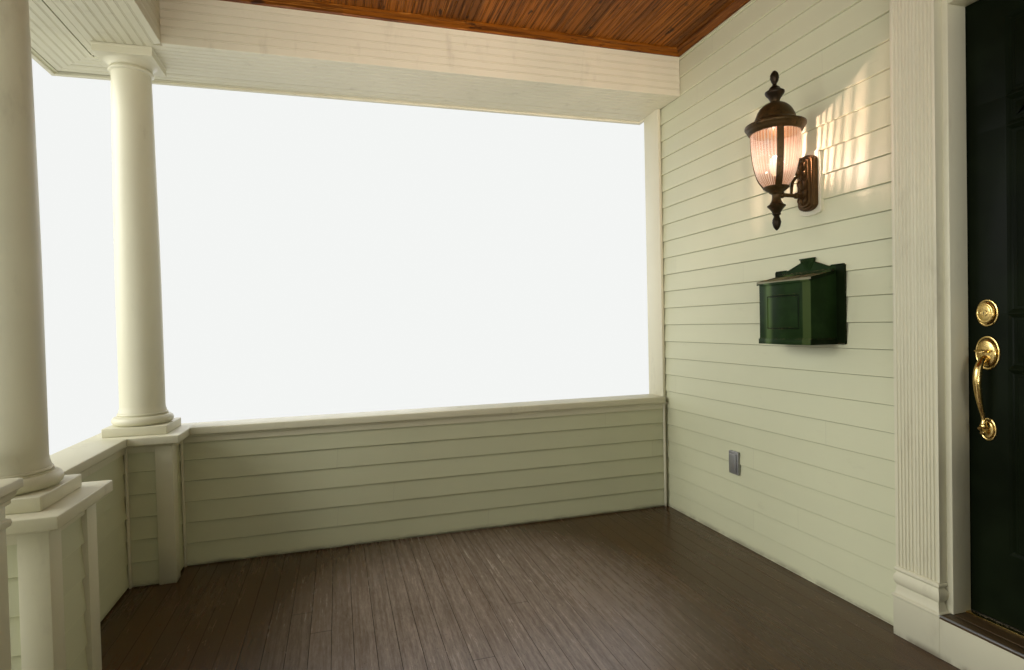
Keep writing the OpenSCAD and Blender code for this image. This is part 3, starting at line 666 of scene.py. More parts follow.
def block(low, high):
    """A box from its low to its high corner."""
    everything_off()
    middle = [(a + b) / 2 for a, b in zip(low, high)]
    bpy.ops.mesh.primitive_cube_add(
        size=1, location=middle, scale=[b - a for a, b in zip(low, high)])
    return settle(bpy.context.object)


def pick_faces(piece, test):
    """Selects, in edit mode, the faces whose middle and normal pass a test."""
    bpy.ops.mesh.select_mode(type="FACE")
    bpy.ops.mesh.select_all(action="DESELECT")
    form = bmesh.from_edit_mesh(piece.data)
    form.normal_update()
    for face in form.faces:
        face.select_set(bool(test(face.calc_center_median(), face.normal)))
    form.select_flush(True)
    bmesh.update_edit_mesh(piece.data)


def stepped(piece, test, members, each=False):
    """Steps the faces that pass a test in and out, by pairs of inset and depth."""
    edit(piece)
    pick_faces(piece, test)
    for inset, depth in members:
        bpy.ops.mesh.inset(thickness=inset, depth=depth, use_individual=each)
    leave()
    return piece


def move_points(piece, test, shift):
    """Moves the points that pass a test."""
    for vertex in piece.data.vertices:
        if test(vertex.co):
            vertex.co += Vector(shift)
    return piece


def soften(piece, width, segments=2, angle=30):
    """Rounds the sharp edges of a piece."""
    work_on(piece)
    bevel = piece.modifiers.new("soft edges", "BEVEL")
    bevel.width = width
    bevel.segments = segments
    bevel.limit_method = "ANGLE"
    bevel.angle_limit = math.radians(angle)
    bevel.harden_normals = False
    bpy.ops.object.modifier_apply(modifier=bevel.name)
    return piece


def repeat(piece, count, step):
    """A row of copies of a piece, a step apart."""
    work_on(piece)
    row = piece.modifiers.new("row", "ARRAY")
    row.count = max(1, count)
    row.use_relative_offset = False
    row.use_constant_offset = True
    row.constant_offset_displace = step
    bpy.ops.object.modifier_apply(modifier=row.name)
    return piece


def cut(piece, point, normal):
    """Cuts off what lies ahead of a plane and closes the cut."""
    edit(piece)
    bpy.ops.mesh.bisect(plane_co=point, plane_no=Vector(normal).normalized(),
                        clear_outer=True, use_fill=True)
    leave()
    return piece


def joined(*pieces):
    work_on(*pieces)
    bpy.ops.object.join()
    return bpy.context.object


def copied(piece, shift=(0, 0, 0)):
    """A copy of a piece with its own mesh."""
    work_on(piece)
    bpy.ops.object.duplicate(linked=False)
    twin = bpy.context.object
    twin.location = shift
    return settle(twin)


def mirrored(piece):
    """A copy of a piece on the other side of the middle plane."""
    twin = copied(piece)
    edit(twin)
    bpy.ops.transform.mirror(
        constraint_axis=(True, False, False), orient_type="GLOBAL", center_override=(0, 0, 0))
    bpy.ops.mesh.flip_normals()
    leave()
    return twin


def both(piece):
    """A piece joined with its mirrored copy."""
    return joined(piece, mirrored(piece))


def placed(piece, across, along, origin):
    """Turns a piece so that its x runs across, its y along and its z out of the face."""
    across, along = Vector(across), Vector(along)
    turn = Matrix((across, along, across.cross(along))).transposed().to_4x4()
    piece.matrix_world = Matrix.Translation(origin) @ turn
    return settle(piece)


def upright(piece, origin=(0, 0, 0)):
    """Stands a piece that was drawn lying down, with its z towards the front."""
    return placed(piece, (1, 0, 0), (0, 0, 1), origin)


def bar(outline, low, high, along="y"):
    """A bar with an outline in the plane across it, from low to high."""
    everything_off()
    bpy.ops.mesh.primitive_circle_add(vertices=len(outline), fill_type="NGON")
    piece = bpy.context.object
    at = {"x": lambda u, v: (low, u, v), "y": lambda u, v: (u, low, v),
          "z": lambda u, v: (u, v, low)}[along]
    for vertex, point in zip(piece.data.vertices, outline):
        vertex.co = at(*point)
    edit(piece)
    length = high - low
    shift = {"x": (length, 0, 0), "y": (0, length, 0), "z": (0, 0, length)}[along]
    bpy.ops.mesh.extrude_region_move(TRANSFORM_OT_translate={"value": shift})
    bpy.ops.mesh.select_all(action="SELECT")
    bpy.ops.mesh.normals_make_consistent(inside=False)
    leave()
    return piece


def turned(outline, centre=(0, 0, 0), steps=64):
    """A turned piece from its outline in radius and height, which starts and ends on the axis."""
    everything_off()
    bpy.ops.mesh.primitive_circle_add(vertices=len(outline), fill_type="NOTHING")
    piece = bpy.context.object
    for vertex, (radius, height) in zip(piece.data.vertices, outline):
        vertex.co = Vector(centre) + Vector((radius, 0, height))
    edit(piece)
    bpy.ops.mesh.spin(steps=steps, angle=2 * math.pi, center=centre, axis=(0, 0, 1))
    bpy.ops.mesh.select_all(action="SELECT")
    bpy.ops.mesh.remove_doubles(threshold=MERGE)
    bpy.ops.mesh.normals_make_consistent(inside=False)
    leave()
    return piece


def arc(x, y, radius, degrees):
    """Points of an outline on a circle round a middle, at angles in degrees."""
    turns = [math.radians(angle) for angle in degrees]
    return [(x + radius * math.cos(turn), y + radius * math.sin(turn)) for turn in turns]


def stacked(low, high, members):
    """Mouldings round a block: each member has a height and how far it stands out there."""
    everything_off()
    middle = Vector(((low[0] + high[0]) / 2, (low[1] + high[1]) / 2, members[0][0]))
    half = ((high[0] - low[0]) / 2, (high[1] - low[1]) / 2)
    bpy.ops.mesh.primitive_plane_add(size=2, location=middle)
    piece = settle(bpy.context.object)

    def spread(vertices, out, height):
        for vertex in vertices:
            for axis in (0, 1):
                side = 1 if vertex.co[axis] > middle[axis] else -1
                vertex.co[axis] = middle[axis] + side * (half[axis] + out)
            vertex.co.z = height

    spread(piece.data.vertices, members[0][1], members[0][0])
    edit(piece)
    for height, out in members[1:]:
        bpy.ops.mesh.extrude_region_move(TRANSFORM_OT_translate={"value": (0, 0, 0.001)})
        form = bmesh.from_edit_mesh(piece.data)
        spread([vertex for vertex in form.verts if vertex.select], out, height)
        bmesh.update_edit_mesh(piece.data)
    bpy.ops.mesh.select_all(action="SELECT")
    bpy.ops.mesh.normals_make_consistent(inside=False)
    leave()
    return piece


def eased(points, parts):
    """A smooth run of points through the given ones."""
    run = []
    padded = [points[0], *points, points[-1]]
    for a, b, c, d in zip(padded, padded[1:], padded[2:], padded[3:]):
        for k in range(parts):
            t = k / parts
            run.append(tuple(
                0.5 * (2 * q + (r - p) * t + (2 * p - 5 * q + 4 * r - s) * t * t
                       + (3 * q - p - 3 * r + s) * t ** 3)
                for p, q, r, s in zip(a, b, c, d)))
    run.append(tuple(points[-1]))
    return run


def swept(path, across, sides=16, power=1.0):
    """A rod along points given as x, y, z, radius and how many times wider it is across."""
    everything_off()
    across = Vector(across).normalized()
    bpy.ops.mesh.primitive_circle_add(vertices=sides, fill_type="NGON")
    piece = bpy.context.object

    def ring(index):
        spot = Vector(path[index][:3])
        ahead = Vector(path[min(index + 1, len(path) - 1)][:3])
        behind = Vector(path[max(index - 1, 0)][:3])
        normal = (ahead - behind).normalized().cross(across)
        radius = path[index][3]
        wide = path[index][4] if len(path[index]) > 4 else 1.0
        for k in range(sides):
            turn = 2 * math.pi * k / sides
            c, s = math.cos(turn), math.sin(turn)
            c = math.copysign(abs(c) ** power, c)
            s = math.copysign(abs(s) ** power, s)
            yield spot + radius * (wide * c * across + s * normal)

    for vertex, spot in zip(piece.data.vertices, ring(0)):
        vertex.co = spot
    edit(piece)
    for index in range(1, len(path)):
        bpy.ops.mesh.extrude_region_move(TRANSFORM_OT_translate={"value": (0, 0, 0.00001)})
        form = bmesh.from_edit_mesh(piece.data)
        end = next(face for face in form.faces if face.select)
        old, new = list(ring(index - 1)), list(ring(index))
        for vertex in end.verts:
            vertex.co = new[min(range(sides), key=lambda k: (old[k] - vertex.co).length)]
        bmesh.update_edit_mesh(piece.data)
    bpy.ops.mesh.select_all(action="SELECT")
    bpy.ops.mesh.normals_make_consistent(inside=False)
    leave()
    return piece


def mitred(piece, axis, low, high):
    """Draws the ends of boards along an axis to the places that low and high give for a point."""
    spots = [vertex.co[axis] for vertex in piece.data.vertices]
    middle = (min(spots) + max(spots)) / 2
    for vertex in piece.data.vertices:
        vertex.co[axis] = (high if vertex.co[axis] > middle else low)(vertex.co)
    return piece


def boarding(section, pitch, width, length, first=0.0):
    """Boards side by side: x runs across them, y along them and z out of their face."""
    piece = bar(section, 0, length, "y")
    repeat(piece, math.ceil((width + first) / pitch - 0.001), (pitch, 0, 0))
    if first:
        piece.location.x = -first
        settle(piece)
        cut(piece, (0, 0, 0), (-1, 0, 0))
    return cut(piece, (width, 0, 0), (1, 0, 0))


def tiled(tile, pitch, rise, width, height):
    """Rows of one tile, every other row shifted by half a tile, cut to a width and a height."""
    rows = math.ceil(height / rise)
    count = math.ceil(width / pitch) + 1
    odd = copied(tile, (-pitch / 2, rise, 0))
    for piece, number in ((tile, (rows + 1) // 2), (odd, rows // 2)):
        repeat(piece, count, (pitch, 0, 0))
        repeat(piece, number, (0, 2 * rise, 0))
    piece = joined(tile, odd)
    cut(piece, (0, 0, 0), (-1, 0, 0))
    cut(piece, (width, 0, 0), (1, 0, 0))
    return cut(piece, (0, height, 0), (0, 1, 0))


def from_node(node):
    """A copy of a CAD node, with its triangles joined into whole faces."""
    everything_off()
    source = frame["nodes"][node]
    piece = bpy.data.objects.new(node + "_copy", source.data.copy())
    bpy.context.scene.collection.objects.link(piece)
    edit(piece)
    bpy.ops.mesh.remove_doubles(threshold=MERGE)
    bpy.ops.mesh.dissolve_limited(angle_limit=math.radians(0.5))
    leave()
    return piece


def done(piece, name, slot, *nodes, body="porch", finish=None, angle=30):
    """Names a finished piece, gives it its finish and its body, and hides what it stands for."""
    settle(piece)
    piece.name = name
    piece.data.name = name
    piece.data.materials.clear()
    piece.data.materials.append(finishes[finish or slot])
    bpy.ops.object.shade_smooth_by_angle(angle=math.radians(angle))
    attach(piece, body)
    if nodes:
        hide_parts(*nodes)
    return piece


def at_columns(piece):
    """Copies of a piece on the axes of the four columns, in place of the piece itself."""
    places = [(x, COLUMN_Y, 0) for x in (-CORNER_X, -STEP_X, STEP_X, CORNER_X)]
    row = joined(*[copied(piece, spot) for spot in places])
    bpy.data.objects.remove(piece)
    return row


def eased_nodes(width, segments, *nodes):
    """Finishes trim nodes in their own shape, with their edges eased."""
    for node in nodes:
        piece = soften(from_node(node), width, segments)
        done(piece, node + "_boards", "trim_paint", node)


def lantern_axis():
    """The middle of the lantern's glass, at the height of the middle of its plate."""
    low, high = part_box("lantern_glass")
    plate_low, plate_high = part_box("lantern_bracket")
    return Vector(((low.x + high.x) / 2, (low.y + high.y) / 2, (plate_low.z + plate_high.z) / 2))


def bead_section():
    """The outline of one beaded board, its face at 0."""
    pitch, deep = sizes().bead_board, 0.003
    return [(0, -0.009), (0, -deep), (0.001, 0), (pitch - 0.0085, 0), (pitch - 0.0072, -deep),
            (pitch - 0.0058, -0.0007), (pitch - 0.0036, 0), (pitch - 0.0014, -0.0007),
            (pitch, -deep), (pitch, -0.009)]


def siding_section():
    """The outline of one course of siding, its butt at the start."""
    course, butt = sizes().course, sizes().butt
    return [(0, -0.0125), (0, -0.0012), (0.0012, 0), (course, -butt), (course, -0.0125)]


def siding(side, start, length, low, high, first=0.0):
    """Courses of siding on one side of a wall, from a low to a high level."""
    along = {"-y": (-1, 0, 0), "+x": (0, -1, 0), "+y": (1, 0, 0), "-x": (0, 1, 0)}[side]
    piece = boarding(siding_section(), sizes().course, high - low, length, first)
    return placed(piece, (0, 0, 1), along, (start[0], start[1], low))


# Piece groups, one operator each

class PORCH_OT_finishes(bpy.types.Operator):
    """Make the materials of the porch"""
    bl_idname = "porch.finishes"
    bl_label = "Finishes"

    def execute(self, context):
        finishes.update(
            trim_paint=make_trim(), wall_paint=make_siding("siding paint", 0.0),
            rail_paint=make_siding("half wall paint", RAIL_FOOT), floor_paint=make_floor(),
            stained_wood=make_varnish("varnished boards", "x"),
            stained_across=make_varnish("varnished cross trim", "y"),
            framing=make_framing(), oak_sill=make_oak(),
            door_paint=make_door(), brass=make_brass(), bronze=make_bronze(),
            lamp_glass=make_glass(), bulb=make_bulb(), mailbox_paint=make_mailbox(),
            masonry=make_brick(), mortar=make_mortar(), shingle=make_shingle(),
            plaster=make_plaster(), flashing=make_flashing(), dark=make_painted_shade())
        slots = {part["node"]: part["material_slot"] for part in frame["record"]["subparts"]}
        for node, shape in frame["nodes"].items():
            shape.data.materials.clear()
            shape.data.materials.append(finishes[slots[node]])
        return {"FINISHED"}


class PORCH_OT_foundation(bpy.types.Operator):
    """Lay the brick foundation under the deck and the house wall"""
    bl_idname = "porch.foundation"
    bl_label = "Foundation"

    def execute(self, context):
        low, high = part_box("foundation_front")
        end_low, end_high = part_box("foundation_ends")
        base_low, base_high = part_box("house_base")
        proud, deep = 0.004, 0.03
        course = sizes().brick

        def brickwork(origin, across, width, height):
            brick = block((0, 0, -deep), (BRICK_LENGTH, course - BRICK_JOINT, proud))
            rows = tiled(soften(brick, 0.003, 1), BRICK_LENGTH + BRICK_JOINT, course,
                         width, height)
            return placed(rows, across, (0, 0, 1), origin)

        thick = high.y - low.y
        core = joined(
            block(low, high),
            block((end_high.x - thick, high.y, 0), (end_high.x, end_high.y, high.z)),
            block((end_low.x, high.y, 0), (end_low.x + thick, end_high.y, high.z)))
        done(core, "foundation_mortar", "masonry", "foundation_front", "foundation_ends",
             finish="mortar")
        front = brickwork((low.x, low.y, 0), (1, 0, 0), high.x - low.x, high.z)
        side = brickwork((high.x, low.y, 0), (0, 1, 0), end_high.y - low.y, high.z)
        done(joined(front, side, mirrored(side)), "foundation_bricks", "masonry")
        base = joined(block(base_low, (base_high.x, base_high.y, DECK)),
                      block((base_low.x, FACE + SIDING_BACK, DECK), base_high))
        done(base, "house_base_mortar", "masonry", "house_base", finish="mortar")
        end = brickwork((base_high.x, base_low.y, 0), (0, 1, 0), WALL_T, DECK)
        done(both(end), "house_base_bricks", "masonry")
        return {"FINISHED"}


class PORCH_OT_deck(bpy.types.Operator):
    """Lay the floor boards and finish the steps"""
    bl_idname = "porch.deck"
    bl_label = "Deck and steps"

    def execute(self, context):
        low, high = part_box("deck_floor")
        thick = high.z - low.z
        width = sizes().floor_board
        section = [(0, -thick), (0, -0.0016), (0.0012, 0), (width - 0.0012, 0),
                   (width, -0.0016), (width, -thick)]
        floor = boarding(section, width, FACE - OUT, 2 * HALF)
        placed(floor, (0, 1, 0), (-1, 0, 0), (HALF, OUT, DECK))
        tread_low, tread_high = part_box("step_treads")
        nose = [(OUT, low.z), (OUT, DECK), (low.y + 0.010, DECK), (low.y + 0.003, DECK - 0.004),
                (low.y, DECK - 0.0125), (low.y + 0.003, low.z + 0.004), (low.y + 0.010, low.z)]
        done(joined(floor, bar(nose, tread_low.x, tread_high.x, "x")),
             "floor_boards", "floor_paint", "deck_floor")
        done(soften(from_node("step_treads"), 0.009, 3), "treads", "floor_paint", "step_treads")
        eased_nodes(0.002, 1, "step_risers", "step_stringers", "deck_rims")
        return {"FINISHED"}


class PORCH_OT_house_wall(bpy.types.Operator):
    """Side the house wall and put up its corner boards"""
    bl_idname = "porch.house_wall"
    bl_label = "House wall"

    def execute(self, context):
        inner = FACE + SIDING_BACK
        for node in ("house_wall_left", "house_wall_right", "house_wall_over_door"):
            low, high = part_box(node)
            side = node.replace("house_wall_", "")
            done(block((low.x, inner, low.z), high), "wall_core_" + side, "wall_paint", node,
                 finish="plaster")
            foot = low.z if side == "over_door" else DECK
            first = (foot - DECK) % sizes().course
            boards = siding("-y", (high.x, FACE), high.x - low.x, foot, high.z, first)
            done(boards, "siding_" + side, "wall_paint")
        done(soften(from_node("house_corner_boards"), 0.003, 2), "corner_boards", "trim_paint",
             "house_corner_boards")
        return {"FINISHED"}


class PORCH_OT_half_walls(bpy.types.Operator):
    """Side the half walls and the piers, with corner boards, friezes and inside beads"""
    bl_idname = "porch.half_walls"
    bl_label = "Half walls and piers"

    def execute(self, context):
        frieze_rise, frieze_proud = 0.642, 0.003
        out_step = 0.008
        frieze = DECK + frieze_rise
        back = SIDING_BACK
        first = sizes().course - RAIL_FOOT
        half = PIER_HALF
        pier_out = STEP_X + half
        pier_in = CORNER_X - half
        house_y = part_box("half_walls")[1].y
        front_y = OUT + WALL_T
        end_x = HALF - WALL_T
        pier_y = COLUMN_Y + half
        out_y, out_x = COLUMN_Y - half + out_step, CORNER_X + half - out_step

        cores = joined(
            block((pier_out, out_y + back, DECK), (pier_in, front_y - back, frieze)),
            block((pier_out, out_y - frieze_proud, frieze),
                  (pier_in, front_y + frieze_proud, CAP_FOOT)),
            block((end_x + back, pier_y, DECK), (out_x - back, house_y, frieze)),
            block((end_x - frieze_proud, pier_y, frieze),
                  (out_x + frieze_proud, house_y, CAP_FOOT)))
        boards = joined(
            siding("-y", (pier_in, out_y), pier_in - pier_out, DECK, frieze, first),
            siding("+y", (pier_out, front_y), pier_in - pier_out, DECK, frieze, first),
            siding("+x", (out_x, house_y), house_y - pier_y, DECK, frieze, first),
            siding("-x", (end_x, pier_y), house_y - pier_y, DECK, frieze, first))
        done(both(cores), "half_wall_frames", "trim_paint", "half_walls")
        done(both(boards), "half_wall_siding", "wall_paint", finish="rail_paint")

        edge = half + BOARD_PROUD
        run = half - sizes().corner_board
        band = half + 0.004

        def corner_board(side_x, side_y):
            xs = sorted((side_x * edge, side_x * run))
            ys = sorted((side_y * edge, side_y * run))
            return soften(block((xs[0], ys[0], DECK), (xs[1], ys[1], CAP_FOOT)), 0.002, 2)

        post = joined(
            block((back - half, back - half, DECK), (half - back, half - back, CAP_FOOT)),
            *[corner_board(side_x, side_y) for side_x in (-1, 1) for side_y in (-1, 1)],
            block((-run, -band, frieze), (run, band, CAP_FOOT)),
            block((-band, -run, frieze), (band, run, CAP_FOOT)))
        clad = joined(*[
            siding(side, start, 2 * run, DECK, frieze, first) for side, start in (
                ("-y", (run, -half)), ("+y", (-run, half)),
                ("+x", (half, run)), ("-x", (-half, -run)))])
        done(at_columns(post), "pier_frames", "trim_paint", "piers")
        done(at_columns(clad), "pier_siding", "wall_paint", finish="rail_paint")

        bead = [(0, 0), (0.010, 0), (0.0092, 0.0038), (0.0071, 0.0071), (0.0038, 0.0092),
                (0, 0.010)]
        beads = []
        for x, y, sx, sy in ((pier_out, front_y, 1, 1), (pier_in, front_y, -1, 1),
                             (end_x, pier_y, -1, 1), (end_x, house_y, -1, -1)):
            outline = [(x + sx * u, y + sy * v) for u, v in bead]
            beads.append(bar(outline, DECK, CAP_FOOT, "z"))
        done(both(joined(*beads)), "inside_beads", "trim_paint")

        eased_nodes(0.004, 3, "wall_caps", "pier_caps")
        under = [(CAP_FOOT - 0.013, 0.0), (CAP_FOOT - 0.012, 0.005), (CAP_FOOT - 0.003, 0.0065),
                 (CAP_FOOT, 0.0065)]
        into_pier, into_wall = 0.05, 0.012
        members = joined(
            *[stacked((x - edge, COLUMN_Y - edge), (x + edge, COLUMN_Y + edge), under)
              for x in (STEP_X, CORNER_X)],
            stacked((pier_out - into_pier, out_y - frieze_proud),
                    (pier_in + into_pier, front_y + frieze_proud), under),
            stacked((end_x - frieze_proud, pier_y - into_pier),
                    (out_x + frieze_proud, house_y + into_wall), under))
        done(both(members), "cap_mouldings", "trim_paint")
        return {"FINISHED"}


class PORCH_OT_newels(bpy.types.Operator):
    """Finish the newel posts beside the steps"""
    bl_idname = "porch.newels"
    bl_label = "Newel posts"

    def execute(self, context):
        low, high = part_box("newel_posts")
        cap_low, cap_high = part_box("newel_caps")
        width = 0.190
        near, rear = high.x - width, low.y + width
        post = soften(block((near, low.y, DECK), (high.x, rear, high.z)), 0.004, 3)
        foot = stacked((near, low.y), (high.x, rear),
                       [(DECK, 0.012), (DECK + 0.10, 0.012), (DECK + 0.108, 0.009),
                        (DECK + 0.116, 0.002), (DECK + 0.120, 0.0)])
        neck = high.z - 0.055
        ring = stacked((near, low.y), (high.x, rear),
                       [(neck, 0.0), (neck + 0.003, 0.006), (neck + 0.012, 0.008),
                        (neck + 0.021, 0.006), (neck + 0.024, 0.0)])
        post = joined(post, foot, ring)
        done(both(post), "newel_post_frames", "trim_paint", "newel_posts")
        z, top = cap_low.z, cap_high.z
        cap = stacked((near, low.y), (high.x, rear), [
            (z, 0.003), (z + 0.003, 0.0075), (z + 0.012, 0.008), (z + 0.015, 0.011),
            (z + 0.019, 0.014), (z + 0.027, 0.016), (z + 0.034, 0.020), (z + 0.037, 0.024),
            (z + 0.039, 0.026), (top - 0.005, 0.026), (top - 0.002, 0.0245), (top, 0.020),
            (top + 0.003, -0.02)])
        done(both(cap), "newel_cap_boards", "trim_paint", "newel_caps")
        return {"FINISHED"}


class PORCH_OT_columns(bpy.types.Operator):
    """Turn the round columns with their bases and capitals"""
    bl_idname = "porch.columns"
    bl_label = "Columns"

    def execute(self, context):
        low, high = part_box("column_shafts")
        foot_r = high.x - CORNER_X
        neck_r = foot_r * 172 / 197
        length = high.z - low.z

        def four(piece, name, node):
            done(at_columns(piece), name, "trim_paint", node, angle=40)

        outline = [(0, low.z), (foot_r + 0.006, low.z), (foot_r + 0.0055, low.z + 0.006),
                   (foot_r + 0.002, low.z + 0.016), (foot_r, low.z + 0.032)]
        for k in range(1, 19):
            t = k / 19
            waist = 0 if t < 1 / 3 else ((t - 1 / 3) * 1.5) ** 1.4
            outline.append((foot_r - (foot_r - neck_r) * waist, low.z + length * t))
        outline += [(neck_r, high.z), (0, high.z)]
        four(turned(outline, steps=96), "column_shaft_staves", "column_shafts")

        base_low, base_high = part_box("column_bases")
        half = base_high.x - CORNER_X
        plinth = 0.042
        foot = base_low.z + plinth
        top = base_high.z
        roll = (top - foot - 0.016) / 2
        reach = half - 0.004
        outline = [(0, foot), (reach - roll, foot)]
        outline += arc(reach - roll, foot + roll, roll, range(-75, 91, 15))
        edge = foot_r + 0.013
        outline += [(edge, foot + 2 * roll + 0.0005), (edge, top - 0.0115)]
        outline += arc(foot_r + 0.006, top - 0.006, 0.0055, (-70, -40, 0, 40, 70))
        outline += [(foot_r + 0.005, top), (0, top)]
        block_low = (-half, -half, base_low.z)
        base = joined(soften(block(block_low, (half, half, foot)), 0.0035, 3),
                      turned(outline, steps=96))
        four(base, "column_base_mouldings", "column_bases")

        head_low, head_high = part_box("column_capitals")
        half = head_high.x - CORNER_X
        abacus = head_high.z - 0.042
        z = head_low.z
        outline = [(0, z), (neck_r, z), (neck_r, z + 0.020), (neck_r + 0.003, z + 0.0215)]
        outline += arc(neck_r + 0.004, z + 0.030, 0.0075, range(-90, 91, 20))
        outline += [(neck_r + 0.001, z + 0.039), (neck_r, z + 0.044), (neck_r, abacus - 0.030),
                    (neck_r + 0.005, abacus - 0.029), (neck_r + 0.005, abacus - 0.025)]
        swell = half - 0.005 - neck_r - 0.006
        outline += [(neck_r + 0.006 + swell * (1 - math.cos(math.radians(a))) ** 0.8,
                     abacus - 0.025 + 0.025 * math.sin(math.radians(a))) for a in range(0, 91, 10)]
        outline += [(0, abacus)]
        slab = stacked((-half, -half), (half, half), [
            (abacus, -0.002), (abacus + 0.002, 0.0), (abacus + 0.032, 0.0),
            (abacus + 0.034, 0.002), (head_high.z, 0.002)])
        four(joined(turned(outline, steps=96), slab), "column_capital_mouldings",
             "column_capitals")
        return {"FINISHED"}


class PORCH_OT_beams(bpy.types.Operator):
    """Board the beams and the eaves"""
    bl_idname = "porch.beams"
    bl_label = "Beams and eaves"

    def execute(self, context):
        section, pitch = bead_section(), sizes().bead_board
        inner_x, inner_y = HALF - PIER, OUT + PIER
        deep, thick = 0.009, 0.02
        outer_strip, inner_strip = 0.034, 0.030
        corner_board, fascia = 0.180, 0.042
        house_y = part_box("end_soffits")[1].y
        board_x = WALL_END - corner_board
        edge_y, edge_x = EAVE_Y + fascia, EAVE_X - fascia
        corner = EAVE_X + EAVE_Y
        turn_x = corner - OUT
        lean = (turn_x - inner_x) / PIER
        face_height, face_z = CEILING - BEAM - 0.012, BEAM + 0.002
        under_width, under_z = PIER - outer_strip - inner_strip, BEAM + 0.001

        def rear(point):
            return FACE if point.x < board_x else house_y

        front = joined(
            block((-HALF, OUT, BEAM + deep), (HALF, inner_y - deep, CEILING)),
            soften(block((-turn_x, OUT, BEAM), (turn_x, OUT + outer_strip, BEAM + thick)),
                   0.002, 1),
            mitred(block((-inner_x, inner_y - inner_strip, BEAM),
                         (inner_x, inner_y - 0.0005, BEAM + thick)),
                   0, lambda p: (p.y - inner_y) * lean - inner_x,
                   lambda p: inner_x - (p.y - inner_y) * lean))
        done(front, "front_beam_frame", "trim_paint", "front_beam")
        face = placed(boarding(section, pitch, face_height, 2 * inner_x),
                      (0, 0, 1), (1, 0, 0), (-inner_x, inner_y, face_z))
        under = placed(boarding(section, pitch, under_width, 2 * HALF),
                       (0, 1, 0), (1, 0, 0), (-HALF, OUT + outer_strip, under_z))
        mitred(under, 0, lambda p: (p.y - OUT) * lean - turn_x,
               lambda p: turn_x - (p.y - OUT) * lean)
        done(joined(face, under), "front_beam_boards", "trim_paint")

        ends = joined(
            soften(block((inner_x + 0.0005, inner_y, BEAM),
                         (inner_x + inner_strip, FACE, BEAM + thick)), 0.002, 1),
            soften(block((HALF - outer_strip, OUT, BEAM), (HALF, house_y, BEAM + thick)),
                   0.002, 1),
            block((inner_x + deep, inner_y, BEAM + deep), (board_x, FACE, CEILING)),
            block((board_x, inner_y, BEAM + deep), (HALF, house_y, CEILING)))
        done(both(ends), "end_beam_frames", "trim_paint", "end_beams")
        face = placed(boarding(section, pitch, face_height, FACE - inner_y),
                      (0, 0, 1), (0, 1, 0), (inner_x, inner_y, face_z))
        under = placed(boarding(section, pitch, under_width, FACE - inner_y),
                       (-1, 0, 0), (0, 1, 0), (HALF - outer_strip, inner_y, under_z))
        mitred(under, 1, lambda p: OUT + max(0.0, turn_x - p.x) / lean + 0.0002, rear)
        done(both(joined(face, under)), "end_beam_boards", "trim_paint")

        low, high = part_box("front_soffit")
        boards = placed(boarding(section, pitch, OUT - 0.006 - edge_y, 2 * edge_x),
                        (0, 1, 0), (1, 0, 0), (-edge_x, edge_y, under_z))
        mitred(boards, 0, lambda p: p.y - corner, lambda p: corner - p.y)
        border = joined(
            block((low.x, low.y, BEAM), (high.x, edge_y - 0.005, BEAM + 0.012)),
            block((low.x, OUT - 0.0065, BEAM + 0.0125), (high.x, OUT, BEAM + 0.014)))
        fill = placed(boarding(section, pitch, HALF - turn_x, OUT - edge_y),
                      (-1, 0, 0), (0, 1, 0), (HALF, edge_y, under_z))
        mitred(fill, 1, lambda p: corner - p.x, lambda p: OUT)
        done(joined(boards, border, fill, mirrored(fill)), "front_soffit_boards", "trim_paint",
             "front_soffit")
        side = placed(boarding(section, pitch, edge_x - HALF - 0.006, house_y - OUT),
                      (-1, 0, 0), (0, 1, 0), (edge_x, OUT, under_z))
        mitred(side, 1, lambda p: corner - p.x, lambda p: house_y)
        side = joined(side,
                      block((edge_x + 0.005, OUT, BEAM), (high.x, house_y, BEAM + 0.012)),
                      block((HALF, OUT, BEAM + 0.0125), (edge_x + 0.01, house_y, BEAM + 0.014)))
        done(both(side), "end_soffit_boards", "trim_paint", "end_soffits")
        eased_nodes(0.002, 1, "front_fascia", "end_fascias")
        return {"FINISHED"}


class PORCH_OT_ceiling(bpy.types.Operator):
    """Board the ceiling and trim its edge"""
    bl_idname = "porch.ceiling"
    bl_label = "Ceiling"

    def execute(self, context):
        low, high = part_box("ceiling")
        boards = placed(
            boarding(bead_section(), sizes().bead_board, high.y - low.y, high.x - low.x),
            (0, 1, 0), (1, 0, 0), (low.x, low.y, low.z))
        done(boards, "ceiling_boards", "stained_wood", "ceiling")
        side_x, front_y = HALF - PIER, OUT + PIER
        profile = [(0, 0), (0.045, 0), (0.045, -0.007), (0.040, -0.011), (0.032, -0.013),
                   (0.024, -0.018), (0.017, -0.025), (0.012, -0.028), (0.010, -0.033), (0, -0.033)]
        rails = []
        for y, out in ((front_y, 1), (FACE, -1)):
            rail = bar([(y + out * u, CEILING_FACE + v) for u, v in profile],
                       -side_x, side_x, "x")
            rails.append(mitred(rail, 0, lambda p: abs(p.y - y) - side_x,
                                lambda p: side_x - abs(p.y - y)))
        done(joined(*rails), "ceiling_moulding", "stained_wood", "ceiling_trim")
        rail = bar([(side_x - u, CEILING_FACE + v) for u, v in profile], front_y, FACE, "y")
        mitred(rail, 1, lambda p: front_y + side_x - p.x, lambda p: FACE - side_x + p.x)
        done(both(rail), "ceiling_end_moulding", "stained_wood", finish="stained_across")
        return {"FINISHED"}


